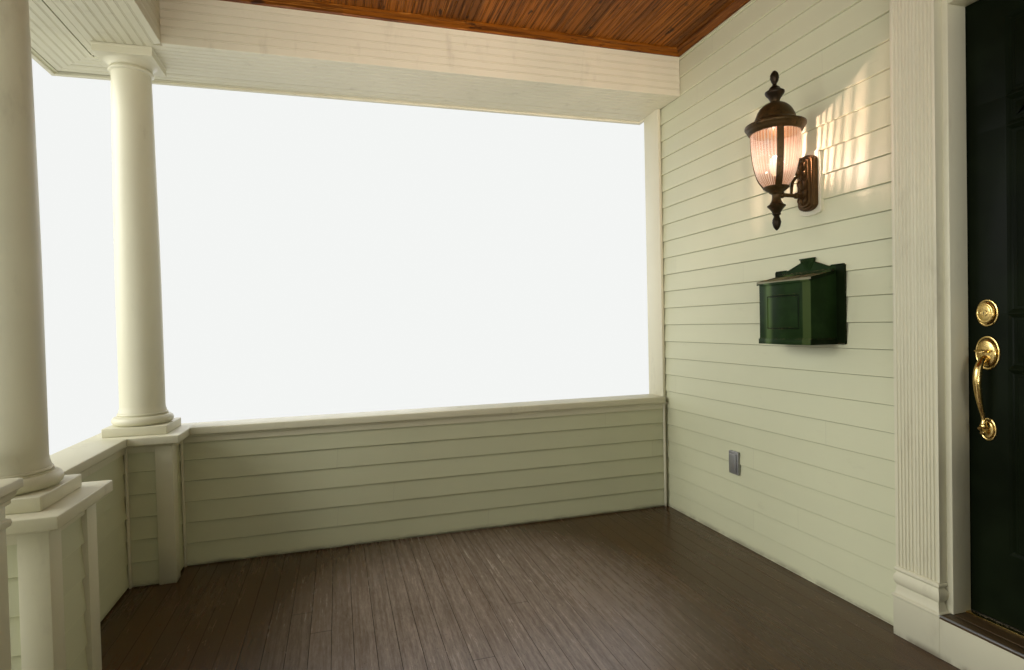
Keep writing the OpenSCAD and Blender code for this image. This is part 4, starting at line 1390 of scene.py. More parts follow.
class PORCH_OT_roof(bpy.types.Operator):
    """Shingle the hipped roof, with hip caps and flashing at the wall"""
    bl_idname = "porch.roof"
    bl_label = "Roof"

    def execute(self, context):
        ridge_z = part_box("roof")[1].z
        front_pitch, end_pitch = 0.25, 0.5
        butt, course = 0.007, sizes().shingle
        run = FACE - EAVE_Y
        rise = front_pitch * run
        eave_z = ridge_z - rise
        in_x = rise / end_pitch

        def shingles(width, height):
            tile = block((0.002, 0.0, 0.0), (SHINGLE_TAB - 0.002, course - 0.0005, butt))
            move_points(tile, lambda p: p.y > course / 2 and p.z > butt / 2, (0, 0, -0.0052))
            return tiled(tile, SHINGLE_TAB, course, width, height)

        slope = Vector((0, run, rise))
        front = placed(shingles(2 * EAVE_X, slope.length), (1, 0, 0), slope.normalized(),
                       (-EAVE_X, EAVE_Y, eave_z))
        cut(front, (EAVE_X, EAVE_Y, 0), (run, in_x, 0))
        cut(front, (-EAVE_X, EAVE_Y, 0), (-run, in_x, 0))
        slope = Vector((-in_x, 0, rise))
        side = placed(shingles(run, slope.length), (0, 1, 0), slope.normalized(),
                      (EAVE_X, EAVE_Y, eave_z))
        cut(side, (EAVE_X, EAVE_Y, 0), (-run, -in_x, 0))
        done(joined(front, side, mirrored(side)), "roof_shingles", "shingle")

        hip = Vector((-in_x, run, rise))
        across = Vector((run, in_x, 0)).normalized()
        cap = bar([(-0.11, -0.036), (0, 0.002), (0.11, -0.036), (0.11, -0.030), (0, 0.008),
                   (-0.11, -0.030)], -0.004, course + 0.01, "y")
        move_points(cap, lambda p: p.y < course / 2, (0, 0, butt))
        repeat(cap, int(hip.length / course), (0, course, 0))
        placed(cap, across, hip.normalized(), (EAVE_X - 0.004, EAVE_Y + 0.008, eave_z + 0.004))
        cut(cap, (EAVE_X + 0.006, 0, 0), (1, 0, 0))
        cut(cap, (0, EAVE_Y - 0.006, 0), (0, -1, 0))
        done(both(cap), "hip_shingles", "shingle")

        tall, sheet, foot_z = 0.08, 0.004, ridge_z - 0.01
        strip = block((0, 0, 0), (2 * (EAVE_X - in_x), tall, sheet))
        upright(strip, (in_x - EAVE_X, FACE, foot_z))
        reach = WALL_END - EAVE_X + in_x
        slope = Vector((reach, 0, -reach * end_pitch))
        side = block((0, 0, 0), (slope.length, tall, sheet))
        placed(side, slope.normalized(), slope.normalized().cross(Vector((0, 1, 0))),
               (EAVE_X - in_x, FACE, foot_z))
        done(joined(strip, side, mirrored(side)), "roof_flashing", None, finish="flashing")
        return {"FINISHED"}


class PORCH_OT_door_frame(bpy.types.Operator):
    """Finish the door frame, the fluted casings, their blocks, the head and the sill"""
    bl_idname = "porch.door_frame"
    bl_label = "Door frame"

    def execute(self, context):
        eased_nodes(0.0015, 2, "door_jambs", "door_head")
        low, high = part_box("door_casings")
        wide, deep = 0.166, 0.035
        grooves = sorted([(side * wide / 4 + step * wide / 12, 0.005)
                          for side in (-1, 1) for step in range(-2, 3)] + [(0, 0.003)])
        outline = [(-wide / 2, 0), (-wide / 2, -deep)]
        for middle, radius in grooves:
            outline += arc(middle, -deep, radius, range(180, -1, -30))
        outline += [(wide / 2, -deep), (wide / 2, 0)]
        casing = bar([(high.x - wide / 2 + x, FACE + y) for x, y in outline], low.z, high.z, "z")
        done(both(casing), "casing_boards", "trim_paint", "door_casings", angle=40)
        band_wide, band_deep = 0.016, 0.022
        band = block((high.x, FACE - band_deep, DECK), (high.x + band_wide, FACE, high.z))
        done(both(soften(band, 0.002, 1)), "casing_back_bands", "trim_paint")
        low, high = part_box("casing_blocks")
        width = wide + 0.012
        z = high.z
        member = stacked((high.x - width, low.y), (high.x, FACE), [
            (DECK, 0.0), (z - 0.118, 0.0), (z - 0.116, 0.003), (z - 0.111, 0.0045),
            (z - 0.106, 0.003), (z - 0.104, -0.001), (z - 0.100, -0.004), (z - 0.085, -0.0065),
            (z - 0.074, -0.0095), (z - 0.070, -0.0095), (z - 0.066, -0.0055), (z - 0.058, -0.0015),
            (z - 0.048, 0.0005), (z - 0.038, -0.0005), (z - 0.030, -0.0035), (z - 0.024, -0.008),
            (z - 0.021, -0.0095), (z - 0.018, -0.0085), (z - 0.016, -0.0045), (z - 0.011, -0.002),
            (z - 0.005, -0.0035), (z - 0.001, -0.008), (z, -0.010)])
        done(both(member), "casing_block_mouldings", "trim_paint", "casing_blocks")

        low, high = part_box("head_cornice")
        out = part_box("door_casings")[1].x
        z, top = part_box("door_casings")[1].z, high.z
        crown = stacked((-out, FACE - deep), (out, FACE), [
            (z, 0.004), (z + 0.006, 0.010), (z + 0.014, 0.011), (z + 0.020, 0.006),
            (z + 0.024, 0.003), (top - 0.100, 0.003), (top - 0.097, 0.010), (top - 0.088, 0.012),
            (top - 0.080, 0.014), (top - 0.070, 0.022), (top - 0.062, 0.034), (top - 0.058, 0.036),
            (top - 0.030, 0.036), (top - 0.026, 0.039), (top - 0.016, 0.043), (top - 0.006, 0.045),
            (top, 0.045)])
        board = block((low.x + 0.2, FACE - 0.020, low.z), (high.x - 0.2, FACE, z))
        done(joined(crown, board), "head_cornice_mouldings", "trim_paint", "head_cornice")

        low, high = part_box("door_sill")
        nose_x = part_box("sill_riser")[1].x
        nose, out, riser_out, strip_half = 0.012, 0.050, 0.047, 0.462
        sill = joined(soften(block((low.x, FACE, low.z), high), 0.002, 1),
                      soften(block((-nose_x, FACE - out, SILL - nose), (nose_x, FACE, SILL)),
                             0.002, 2))
        done(sill, "door_sill_board", "oak_sill", "door_sill")
        riser = block((-nose_x, FACE - riser_out, DECK), (nose_x, FACE, SILL - nose))
        done(soften(riser, 0.001, 1), "sill_riser_board", "trim_paint", "sill_riser")
        strip = soften(block((-nose_x, FACE - out - 0.001, SILL - 0.0045),
                             (nose_x, FACE - out + 0.007, SILL + 0.0008)), 0.0012, 2)
        done(strip, "sill_nosing_strip", None, finish="flashing")
        brass = soften(block((-strip_half, DOOR_FACE - 0.030, SILL - 0.001),
                             (strip_half, DOOR_FACE - 0.004, SILL + 0.0045)), 0.0012, 2)
        done(brass, "threshold_strip", "brass")
        return {"FINISHED"}


class PORCH_OT_door(bpy.types.Operator):
    """Panel the door leaf"""
    bl_idname = "porch.door"
    bl_label = "Door leaf"

    def execute(self, context):
        low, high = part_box("door_leaf")
        leaf = block(low, high)
        stile, middle = 0.130, 0.110
        bottom_rail, lock_rail, lock_rail_top = 0.240, 0.864, 1.051
        frieze_rail, frieze_rail_top, top_rail = 0.461, 0.364, 0.098
        width = (high.x - low.x - 2 * stile - middle) / 2
        height = high.z - low.z
        xs = [low.x + x for x in (stile, stile + width, stile + width + middle,
                                  stile + 2 * width + middle)]
        rows = [(bottom_rail, lock_rail), (lock_rail_top, height - frieze_rail),
                (height - frieze_rail_top, height - top_rail)]
        edit(leaf)
        for x in xs:
            bpy.ops.mesh.select_all(action="SELECT")
            bpy.ops.mesh.bisect(plane_co=(x, 0, 0), plane_no=(1, 0, 0))
        for row in rows:
            for z in row:
                bpy.ops.mesh.select_all(action="SELECT")
                bpy.ops.mesh.bisect(plane_co=(0, 0, low.z + z), plane_no=(0, 0, 1))
        leave()

        def field(middle_point, normal):
            in_x = any(a < middle_point.x < b for a, b in (xs[:2], xs[2:]))
            in_z = any(a < middle_point.z - low.z < b for a, b in rows)
            return in_x and in_z and abs(normal.y) > 0.9

        stepped(leaf, field, (
            (0.0025, -0.0015), (0.0035, -0.0015), (0.0045, -0.0030), (0.0040, -0.0045),
            (0.0015, 0.0), (0.009, 0.0), (0.0015, 0.0012), (0.030, 0.0058), (0.001, 0.0)), True)
        soften(leaf, 0.0008, 1, 60)
        done(leaf, "door_leaf_panels", "door_paint", "door_leaf", body="door", angle=25)
        return {"FINISHED"}


class PORCH_OT_hardware(bpy.types.Operator):
    """Make the brass handle, its thumb latch and the deadbolt"""
    bl_idname = "porch.hardware"
    bl_label = "Door hardware"

    def execute(self, context):
        handle_low, handle_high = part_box("door_handle")
        bolt_low, bolt_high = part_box("deadbolt")
        plate_half, rose_half = 0.059, 0.040
        grip_z = handle_low.z + rose_half
        latch_z = handle_high.z - plate_half
        bolt_z = (bolt_low.z + bolt_high.z) / 2

        def oval(outline, share, z, steps=64):
            piece = turned(outline, steps=steps)
            piece.scale = (share, 1, 1)
            return upright(settle(piece), (HANDLE_X, DOOR_FACE, z))

        bolt = oval([(0, 0), (0.047, 0), (0.047, 0.0022), (0.0455, 0.0044), (0.0425, 0.0052),
                     (0.0405, 0.0046), (0.0395, 0.0022), (0.0372, 0.0020), (0.0368, 0.0120),
                     (0.0372, 0.0135), (0.0368, 0.0150), (0.0345, 0.0168), (0.0315, 0.0176),
                     (0.0290, 0.0172), (0.0282, 0.0164), (0.0262, 0.0164), (0.0254, 0.0174),
                     (0.0225, 0.0178), (0, 0.0178)], 72 / 94, bolt_z)
        plug = oval([(0, 0.014), (0.0118, 0.014), (0.0118, 0.0192), (0.0108, 0.0204),
                     (0.0095, 0.0204), (0.0088, 0.0194), (0, 0.0194)], 1.0, bolt_z, 32)
        done(joined(bolt, plug), "deadbolt_rose", "brass", "deadbolt", body="door", angle=35)
        # painted shade: a near-black slip in the plug that stands for the keyhole's hollow
        slit = block((HANDLE_X - 0.0011, DOOR_FACE - 0.0197, bolt_z - 0.0050),
                     (HANDLE_X + 0.0011, DOOR_FACE - 0.0186, bolt_z + 0.0050))
        done(soften(slit, 0.0003, 1), "keyhole", None, body="door", finish="dark")

        plate = oval([(0, 0), (plate_half, 0), (plate_half, 0.0022), (0.0572, 0.0046),
                      (0.0540, 0.0054), (0.0515, 0.0048), (0.0505, 0.0024),
                      (0.0480, 0.0020), (0.0472, 0.0070),
                      (0.0465, 0.0095), (0.0440, 0.0118), (0.0400, 0.0130), (0.020, 0.0140),
                      (0, 0.0142)], 80 / 118, latch_z)
        rose = oval([(0, 0), (rose_half, 0), (rose_half, 0.0022), (0.0385, 0.0042),
                     (0.0355, 0.0050), (0.0335, 0.0044), (0.0325, 0.0022),
                     (0.0305, 0.0020), (0.0298, 0.0060),
                     (0.028, 0.0085), (0.022, 0.0100), (0.012, 0.0108), (0, 0.0110)],
                    54 / 80, grip_z)
        spots = [(0.004, 0.247, 0.0095), (0.020, 0.243, 0.0108), (0.034, 0.232, 0.0116),
                 (0.045, 0.215, 0.0121), (0.050, 0.195, 0.0124), (0.0525, 0.168, 0.0124),
                 (0.050, 0.140, 0.0114), (0.045, 0.112, 0.0102), (0.037, 0.080, 0.0084),
                 (0.028, 0.052, 0.0067), (0.0245, 0.034, 0.0062), (0.026, 0.020, 0.0078)]
        path = eased([(HANDLE_X, DOOR_FACE - out, grip_z + up, radius)
                      for out, up, radius in spots], 4)
        grip = swept(path, (1, 0, 0), 20)
        stem = turned([(0, 0.004), (0.0150, 0.004), (0.0125, 0.009), (0.0095, 0.016),
                       (0.0088, 0.022), (0.0100, 0.027), (0.0085, 0.032), (0.004, 0.035),
                       (0, 0.0355)], steps=32)
        upright(stem, (HANDLE_X, DOOR_FACE, grip_z + 0.012))
        ball = turned([(0, -0.0175), (0.0045, -0.0165), (0.0078, -0.012), (0.0086, -0.0075),
                       (0.0075, -0.003), (0.0050, 0.0005), (0.0042, 0.004), (0.0052, 0.008),
                       (0.0070, 0.012), (0.0065, 0.016), (0.0, 0.019)], steps=32)
        placed(ball, (1, 0, 0), (0, 0.76, 0.65), (HANDLE_X, DOOR_FACE - 0.0330, grip_z - 0.004))
        pin_y, pin_z = DOOR_FACE - 0.020, latch_z + 0.006
        cheek = soften(block((HANDLE_X + 0.010, pin_y - 0.005, pin_z - 0.005),
                             (HANDLE_X + 0.014, DOOR_FACE - 0.008, pin_z + 0.005)), 0.0012, 2)
        cheeks = joined(copied(cheek, (-0.024, 0, 0)), cheek)
        done(joined(plate, rose, grip, stem, ball, cheeks), "handle_grip", "brass", "door_handle",
             body="door", angle=35)
        spots = [(-0.010, -0.001, 0.0030, 2.2), (0.000, 0.000, 0.0046, 1.7),
                 (0.005, 0.002, 0.0032, 2.9), (0.010, 0.004, 0.0023, 6.6),
                 (0.015, 0.004, 0.0021, 10.2), (0.019, 0.002, 0.0020, 9.8),
                 (0.022, -0.001, 0.0018, 7.5), (0.0235, -0.004, 0.0012, 4.5)]
        thumb = swept([(HANDLE_X, pin_y - out, pin_z + up, radius, flat)
                       for out, up, radius, flat in eased(spots, 3)], (1, 0, 0), 20)
        done(thumb, "thumb_piece", "brass", "thumb_latch", body="latch", angle=35)
        for node in ("hinge_barrels", "hinge_leaves"):
            body = "porch" if node == "hinge_barrels" else "door"
            piece = soften(from_node(node), 0.0003, 1)
            done(piece, node + "_brass", "brass", node, body=body, angle=40)
        return {"FINISHED"}


class PORCH_OT_lantern(bpy.types.Operator):
    """Make the wall lantern with its ribbed glass and lit bulb"""
    bl_idname = "porch.lantern"
    bl_label = "Lantern"

    def execute(self, context):
        centre = lantern_axis()
        plate_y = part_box("lantern_bracket")[0].y

        def pineapple(piece, low, high, rows):
            for vertex in piece.data.vertices:
                height = vertex.co.z - centre.z
                if low < height < high:
                    dx, dy = vertex.co.x - centre.x, vertex.co.y - centre.y
                    turn = math.atan2(dy, dx)
                    wave = abs(math.sin(4 * turn + rows * height)) \
                        * abs(math.sin(4 * turn - rows * height))
                    grow = 0.92 + 0.14 * wave
                    vertex.co.x = centre.x + dx * grow
                    vertex.co.y = centre.y + dy * grow

        roof = turned([
            (0, 0.2085), (0.1055, 0.2085), (0.1075, 0.2125), (0.1130, 0.2165), (0.1165, 0.224),
            (0.1195, 0.231), (0.1238, 0.2345), (0.1252, 0.2385), (0.1252, 0.2435),
            (0.1238, 0.2465), (0.1190, 0.2485), (0.1050, 0.2550), (0.0900, 0.2620),
            (0.0860, 0.2655), (0.0845, 0.270), (0.0835, 0.276), (0.0810, 0.283),
            (0.0765, 0.294), (0.0705, 0.306), (0.0630, 0.317),
            (0.0540, 0.3265), (0.0440, 0.334), (0.0340, 0.339), (0.0240, 0.342), (0.0200, 0.3435),
            (0.0185, 0.347), (0.0195, 0.351), (0.0215, 0.355), (0.0245, 0.362), (0.0290, 0.369),
            (0.0350, 0.376), (0.0385, 0.381), (0.0405, 0.386), (0.0400, 0.391), (0.0360, 0.3935),
            (0.0300, 0.397), (0.0250, 0.402), (0.0215, 0.408), (0.0175, 0.412), (0.0120, 0.416),
            (0.0092, 0.420), (0.0086, 0.425), (0.0105, 0.429), (0.0130, 0.433), (0.0152, 0.438),
            (0.0170, 0.444), (0.0182, 0.450), (0.0184, 0.456), (0.0175, 0.462), (0.0155, 0.468),
            (0.0125, 0.474), (0.0085, 0.479), (0.0040, 0.4825), (0, 0.4838)], centre, 96)
        pineapple(roof, 0.430, 0.480, 150)
        done(roof, "lantern_dome", "bronze", "lantern_roof", angle=35)

        lower = turned([
            (0, -0.0215), (0.0510, -0.0215), (0.0535, -0.0235), (0.0540, -0.0275),
            (0.0520, -0.0300), (0.0480, -0.0315), (0.0460, -0.035), (0.0400, -0.0395),
            (0.0330, -0.0430), (0.0290, -0.0475), (0.0270, -0.0500), (0.0250, -0.0505),
            (0.0200, -0.0540), (0.0180, -0.0580), (0.0178, -0.0650), (0.0182, -0.0735),
            (0.0200, -0.0820), (0.0235, -0.0900), (0.0280, -0.0970), (0.0335, -0.1015),
            (0.0370, -0.1035), (0.0385, -0.1060), (0.0375, -0.1085), (0.0330, -0.1130),
            (0.0270, -0.1200), (0.0200, -0.1300), (0.0160, -0.1375), (0.0180, -0.1405),
            (0.0175, -0.1435), (0.0130, -0.1470), (0.0112, -0.1515), (0.0130, -0.1560),
            (0.0155, -0.1615), (0.0175, -0.1690), (0.0182, -0.1760), (0.0178, -0.1830),
            (0.0160, -0.1910), (0.0130, -0.1985), (0.0090, -0.2055), (0.0050, -0.2105),
            (0.0020, -0.2128), (0, -0.2132)], centre, 72)
        pineapple(lower, -0.208, -0.158, 150)
        reach = plate_y - centre.y
        arm = swept(eased([(centre.x, centre.y + out * reach, centre.z - 0.057, radius)
                           for out, radius in ((0.0, 0.010), (0.14, 0.010), (0.18, 0.0135),
                                               (0.24, 0.0135), (0.27, 0.0092), (0.5, 0.0088),
                                               (0.66, 0.0088), (0.70, 0.0130), (0.78, 0.0130),
                                               (0.82, 0.0095), (1.0, 0.0105))], 3), (1, 0, 0), 20)

        def scroll(spots):
            return swept(eased([(centre.x, FACE - out, centre.z + up, radius)
                                for out, up, radius in spots], 4), (1, 0, 0), 14)

        leg = scroll([(0.110, -0.050, 0.0050), (0.107, -0.022, 0.0068), (0.102, -0.001, 0.0072),
                      (0.090, 0.018, 0.0072), (0.070, 0.031, 0.0070), (0.060, 0.052, 0.0066),
                      (0.056, 0.075, 0.0060), (0.053, 0.087, 0.0050)])
        curl = scroll([(0.070, 0.026, 0.0045), (0.083, 0.042, 0.0062), (0.084, 0.065, 0.0066),
                       (0.079, 0.088, 0.0066), (0.064, 0.103, 0.0066), (0.050, 0.104, 0.0064),
                       (0.047, 0.090, 0.0062), (0.056, 0.080, 0.0070)])
        blade = ((0.004, -0.003, -1.0, 0.0020), (0.012, 0.006, -0.4, 0.0070),
                 (0.018, 0.013, 0.2, 0.0078), (0.021, 0.012, 0.7, 0.0048),
                 (0.022, 0.006, 1.0, 0.0015))
        leaves = []
        for up, size in ((-0.084, 0.020), (-0.052, 0.024), (-0.012, 0.026), (0.034, 0.024),
                         (0.072, 0.022)):
            for side, tip in ((-1, 0.6), (0, 1.0), (1, 0.6)):
                spots = [(centre.x + side * off, plate_y - out * (tip if out > 0 else 1.0),
                          centre.z + up + size * share, radius)
                         for off, out, share, radius in blade]
                leaves.append(swept(eased(spots, 2), (1, 0, 0), 10))
        bands = []
        for degrees in (-30, 90, 210):
            turn = math.radians(degrees)
            outward = Vector((math.cos(turn), math.sin(turn), 0))
            path = [(*(centre + outward * r + Vector((0, 0, z))), 0.0022, 6.4)
                    for r, z in eased([(0.0500, -0.0255), (0.0620, -0.0080), (0.0745, 0.0125),
                                       (0.0885, 0.0565), (0.0975, 0.1060), (0.1025, 0.1600),
                                       (0.1035, 0.2088)], 3)]
            bands.append(swept(path, outward.cross(Vector((0, 0, 1))), 16, power=0.35))
        done(joined(lower, arm, leg, curl, *bands), "lantern_stem", "bronze",
             "lantern_body", angle=35)

        outline = [(0.0440, -0.0205), (0.0475, -0.0205), (0.0600, -0.0050), (0.0708, 0.0130),
                   (0.0790, 0.0330), (0.0848, 0.0570), (0.0900, 0.0810), (0.0938, 0.1060),
                   (0.0975, 0.1400), (0.0998, 0.1750), (0.1003, 0.2080)]
        inside = [(r - 0.0034, z) for r, z in reversed(outline[1:])]
        ribs = sizes().ribs
        glass = turned(outline[1:] + inside, centre, ribs * 4)
        for vertex in glass.data.vertices:
            dx, dy = vertex.co.x - centre.x, vertex.co.y - centre.y
            radius = math.hypot(dx, dy)
            grow = 1 + 0.0011 * math.cos(ribs * math.atan2(dy, dx)) / radius
            vertex.co.x, vertex.co.y = centre.x + dx * grow, centre.y + dy * grow
        done(glass, "lantern_ribbed_glass", "lamp_glass", "lantern_glass", angle=60)

        bulb = turned([(0, 0.020), (0.012, 0.020), (0.0135, 0.026), (0.0165, 0.036),
                       (0.0225, 0.050), (0.0275, 0.064), (0.0295, 0.078), (0.0275, 0.092),
                       (0.0205, 0.104), (0.0100, 0.110), (0, 0.1115)], centre, 40)
        done(bulb, "lantern_bulb", None, finish="bulb", angle=60)
        holder = turned([(0, -0.021), (0.019, -0.021), (0.019, -0.012), (0.0155, -0.009),
                         (0.0155, 0.018), (0.0165, 0.020), (0.0140, 0.022), (0, 0.022)],
                        centre, 32)
        done(holder, "lantern_lamp_holder", "bronze", angle=35)

        def slab(width, height, end, back, front):
            rim = []
            for side in (1, -1):
                for k in range(17):
                    turn = math.pi * k / 16 + (0 if side == 1 else math.pi)
                    rim.append((width / 2 * math.cos(turn),
                                side * (height / 2 - end) + end * math.sin(turn)))
            return bar(rim, back, front, "z")

        def raised(piece, members):
            stepped(piece, lambda middle, normal: normal.z > 0.9, members)
            return upright(piece, (centre.x, FACE, centre.z))

        deep = FACE - plate_y
        plate = raised(slab(0.096, 0.246, 0.030, 0, 0.030), [
            (0.0012, 0.0012), (0.0010, 0.0004), (0.0020, -0.0010), (0.0010, 0.0055),
            (0.0022, 0.0012), (0.0022, 0.0), (0.0012, -0.0028), (0.0024, -0.0002),
            (0.0012, 0.0030), (0.0020, deep - 0.0373 + 0.0020)])
        beads = []
        plate_half, straight, end, steps = 0.048, 0.093, 0.030, 13
        outline = [(side * plate_half, z * straight / steps)
                   for side in (-1, 1) for z in range(-steps, steps + 1)]
        for k in range(1, steps):
            turn = math.pi * k / steps
            outline += [(plate_half * math.cos(turn), side * (straight + end * math.sin(turn)))
                        for side in (-1, 1)]
        everything_off()
        bpy.ops.mesh.primitive_ico_sphere_add(subdivisions=1, radius=0.0030)
        drop = settle(bpy.context.object)
        for x, z in outline:
            beads.append(copied(drop, (centre.x + x, FACE - 0.020, centre.z + z)))
        bpy.data.objects.remove(drop)
        done(joined(plate, *beads, *leaves), "lantern_back_plate", "bronze", "lantern_bracket",
             angle=35)
        mount = raised(slab(0.121, 0.284, 0.014, -0.010, 0.008), [(0.002, 0.001), (0.002, 0.0)])
        done(mount, "lantern_mount_block", "trim_paint", angle=40)
        return {"FINISHED"}


class PORCH_OT_mailbox(bpy.types.Operator):
    """Make the mailbox with its bowed front and sloped lid"""
    bl_idname = "porch.mailbox"
    bl_label = "Mailbox"

    def execute(self, context):
        low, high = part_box("mailbox_body")
        origin = Vector(((low.x + high.x) / 2, FACE, low.z))
        half, straight, bow, band, back_half = 0.156, 0.140, 0.020, 0.044, 0.202
        height, slope = 0.312, 36 / 160

        def bowed(x, grow=0.0):
            chord = half + grow - band
            radius = (chord * chord + bow * bow) / (2 * bow)
            return straight + grow + math.sqrt(radius ** 2 - x * x) - radius + bow

        def plan(grow):
            side, chord = half + grow, half + grow - band
            arc = [(x * chord, -bowed(x * chord, grow))
                   for x in (-0.999, -0.85, -0.68, -0.5, -0.25, 0, 0.25, 0.5, 0.68, 0.85, 0.999)]
            flat = -straight - grow
            return [(-side, 0), (-side, flat), (-chord, flat), *arc, (chord, flat), (side, flat),
                    (side, 0)]

        box_side = bar(plan(0), 0.0, height + 0.02, "z")
        cut(box_side, (0, 0, height), (0, -slope, 1))
        edit(box_side)
        pick_faces(box_side, lambda middle, normal: normal.z > 0.9 and middle.z > 0.25)
        bpy.ops.mesh.delete(type="FACE")
        leave()
        work_on(box_side)
        wall = box_side.modifiers.new("sheet", "SOLIDIFY")
        wall.thickness = 0.0022
        wall.offset = -1
        bpy.ops.object.modifier_apply(modifier=wall.name)
        soften(box_side, 0.0008, 2, 25)
        flange = bar(plan(0.004), 0.0, 0.023, "z")
        soften(flange, 0.002, 2, 25)
        rib = bar(plan(0.0018), 0.0235, 0.0275, "z")
        soften(rib, 0.0012, 2, 25)
        corner, part = 0.014, 0.012

        def frame_rod(out, thick):
            """A rod that follows the bowed front round a rectangle with round corners."""
            wide, tall = PANEL_X + out - corner, PANEL_Z + out - corner
            rim = []
            for side, up, start in ((1, 1, 0), (-1, 1, 90), (-1, -1, 180), (1, -1, 270)):
                rim += arc(side * wide, PANEL_MIDDLE + up * tall, corner,
                           range(start, start + 91, 30))
            run = []
            for a, b in zip(rim, rim[1:] + rim[:1]):
                parts = 2 * max(1, round(math.dist(a, b) / 2 / part))
                run += [(a[0] + (b[0] - a[0]) * k / parts, a[1] + (b[1] - a[1]) * k / parts)
                        for k in range(parts)]
            run.append(rim[0])
            return swept([(x, -bowed(x) - 0.0002, z, thick) for x, z in run], (0, 1, 0), 8)

        frames = [frame_rod(0.0045, 0.0022), frame_rod(-0.0045, 0.0012)]

        top = 0.342
        outline = [(-back_half, 0.004), (-back_half + 0.004, 0), (back_half - 0.004, 0),
                   (back_half, 0.004), (back_half, top - 0.006), (back_half - 0.006, top),
                   (back_half - 0.070, top), (back_half - 0.076, top - 0.006),
                   (0.036, top + 0.026), (-0.036, top + 0.026), (0.076 - back_half, top - 0.006),
                   (0.070 - back_half, top), (0.006 - back_half, top), (-back_half, top - 0.006)]
        back = bar(outline, 0.0, 0.008, "z")
        stepped(back, lambda middle, normal: normal.z > 0.9, ((0.0035, 0.0), (0.0015, -0.0018)))
        upright(back)
        shield = bar([(-0.015, top - 0.010), (0.015, top - 0.010), (0.030, top + 0.012),
                      (0.036, top + 0.024), (0.041, top + 0.034), (0.036, top + 0.041),
                      (0.022, top + 0.043), (-0.022, top + 0.043), (-0.036, top + 0.041),
                      (-0.041, top + 0.034), (-0.036, top + 0.024), (-0.030, top + 0.012)],
                     0.0, 0.010, "z")
        upright(soften(shield, 0.0015, 2))
        rays = []
        for k in range(-3, 4):
            lean = math.radians(15 * k)
            rays.append(swept([(0.010 * math.sin(lean), -0.0105, top - 0.004, 0.0012),
                               (0.028 * math.sin(lean), -0.0125, top + 0.013, 0.0026),
                               (0.046 * math.sin(lean), -0.0115, top + 0.031 - abs(k) * 0.001,
                                0.0033),
                               (0.049 * math.sin(lean), -0.0100, top + 0.035 - abs(k) * 0.001,
                                0.0015)], (math.cos(lean), 0, -math.sin(lean)), 10))
        lip = soften(block((-0.044, -0.013, top + 0.037), (0.044, 0, top + 0.043)), 0.002, 2)
        pin_z = height + 0.008
        ears = [soften(block((side * 0.142 - 0.003, -0.018, pin_z - 0.004),
                             (side * 0.142 + 0.003, -0.006, pin_z + 0.004)), 0.001, 2)
                for side in (-1, 1)]
        body = joined(box_side, flange, rib, *frames, back, shield, lip, *rays, *ears)
        body.location = origin
        done(body, "mailbox_case", "mailbox_paint", "mailbox_body", angle=28)

        lid = bar(plan(0.008), 0.2, 0.4, "z")
        cut(lid, (0, 0, height + 0.009), (0, -slope, 1))
        cut(lid, (0, 0, height - 0.007), (0, slope, -1))
        cut(lid, (0, -0.022, 0), (0, 1, 0))
        stepped(lid, lambda middle, normal: normal.z < -0.9, [(0.0024, -0.0125)])
        soften(lid, 0.0025, 3, 40)
        stepped(lid, lambda middle, normal: normal.z > 0.95 and middle.z > height - 0.03,
                ((0.014, 0.0), (0.0020, -0.0010), (0.0030, 0.0), (0.0020, 0.0010)))
        barrel = bar(arc(0, 0, 0.0042, [22.5 * k for k in range(16)]), -0.134, 0.134, "x")
        barrel.location = (0, -0.014, pin_z)
        settle(barrel)
        strap = soften(block((-0.134, -0.030, pin_z - 0.0065), (0.134, -0.014, pin_z - 0.002)),
                       0.001, 1)
        lid = joined(lid, barrel, strap)
        lid.location = origin
        done(lid, "mailbox_flap", "mailbox_paint", "mailbox_lid", body="letter_lid", angle=28)
        return {"FINISHED"}


class PORCH_OT_outlet(bpy.types.Operator):
    """Put the weatherproof outlet plate on the siding"""
    bl_idname = "porch.outlet"
    bl_label = "Outlet plate"

    def execute(self, context):
        x, z = -1.62, DECK + 0.435
        slabs = []
        for wide, tall, front, back in ((0.038, 0.062, 0.012, -0.003),
                                        (0.028, 0.048, 0.020, 0.010)):
            slab = block((x - wide, FACE - front, z - tall), (x + wide, FACE - back, z + tall))
            slabs.append(soften(slab, 0.003, 3))
        done(joined(*slabs), "outlet_plate", None, finish="flashing")
        return {"FINISHED"}


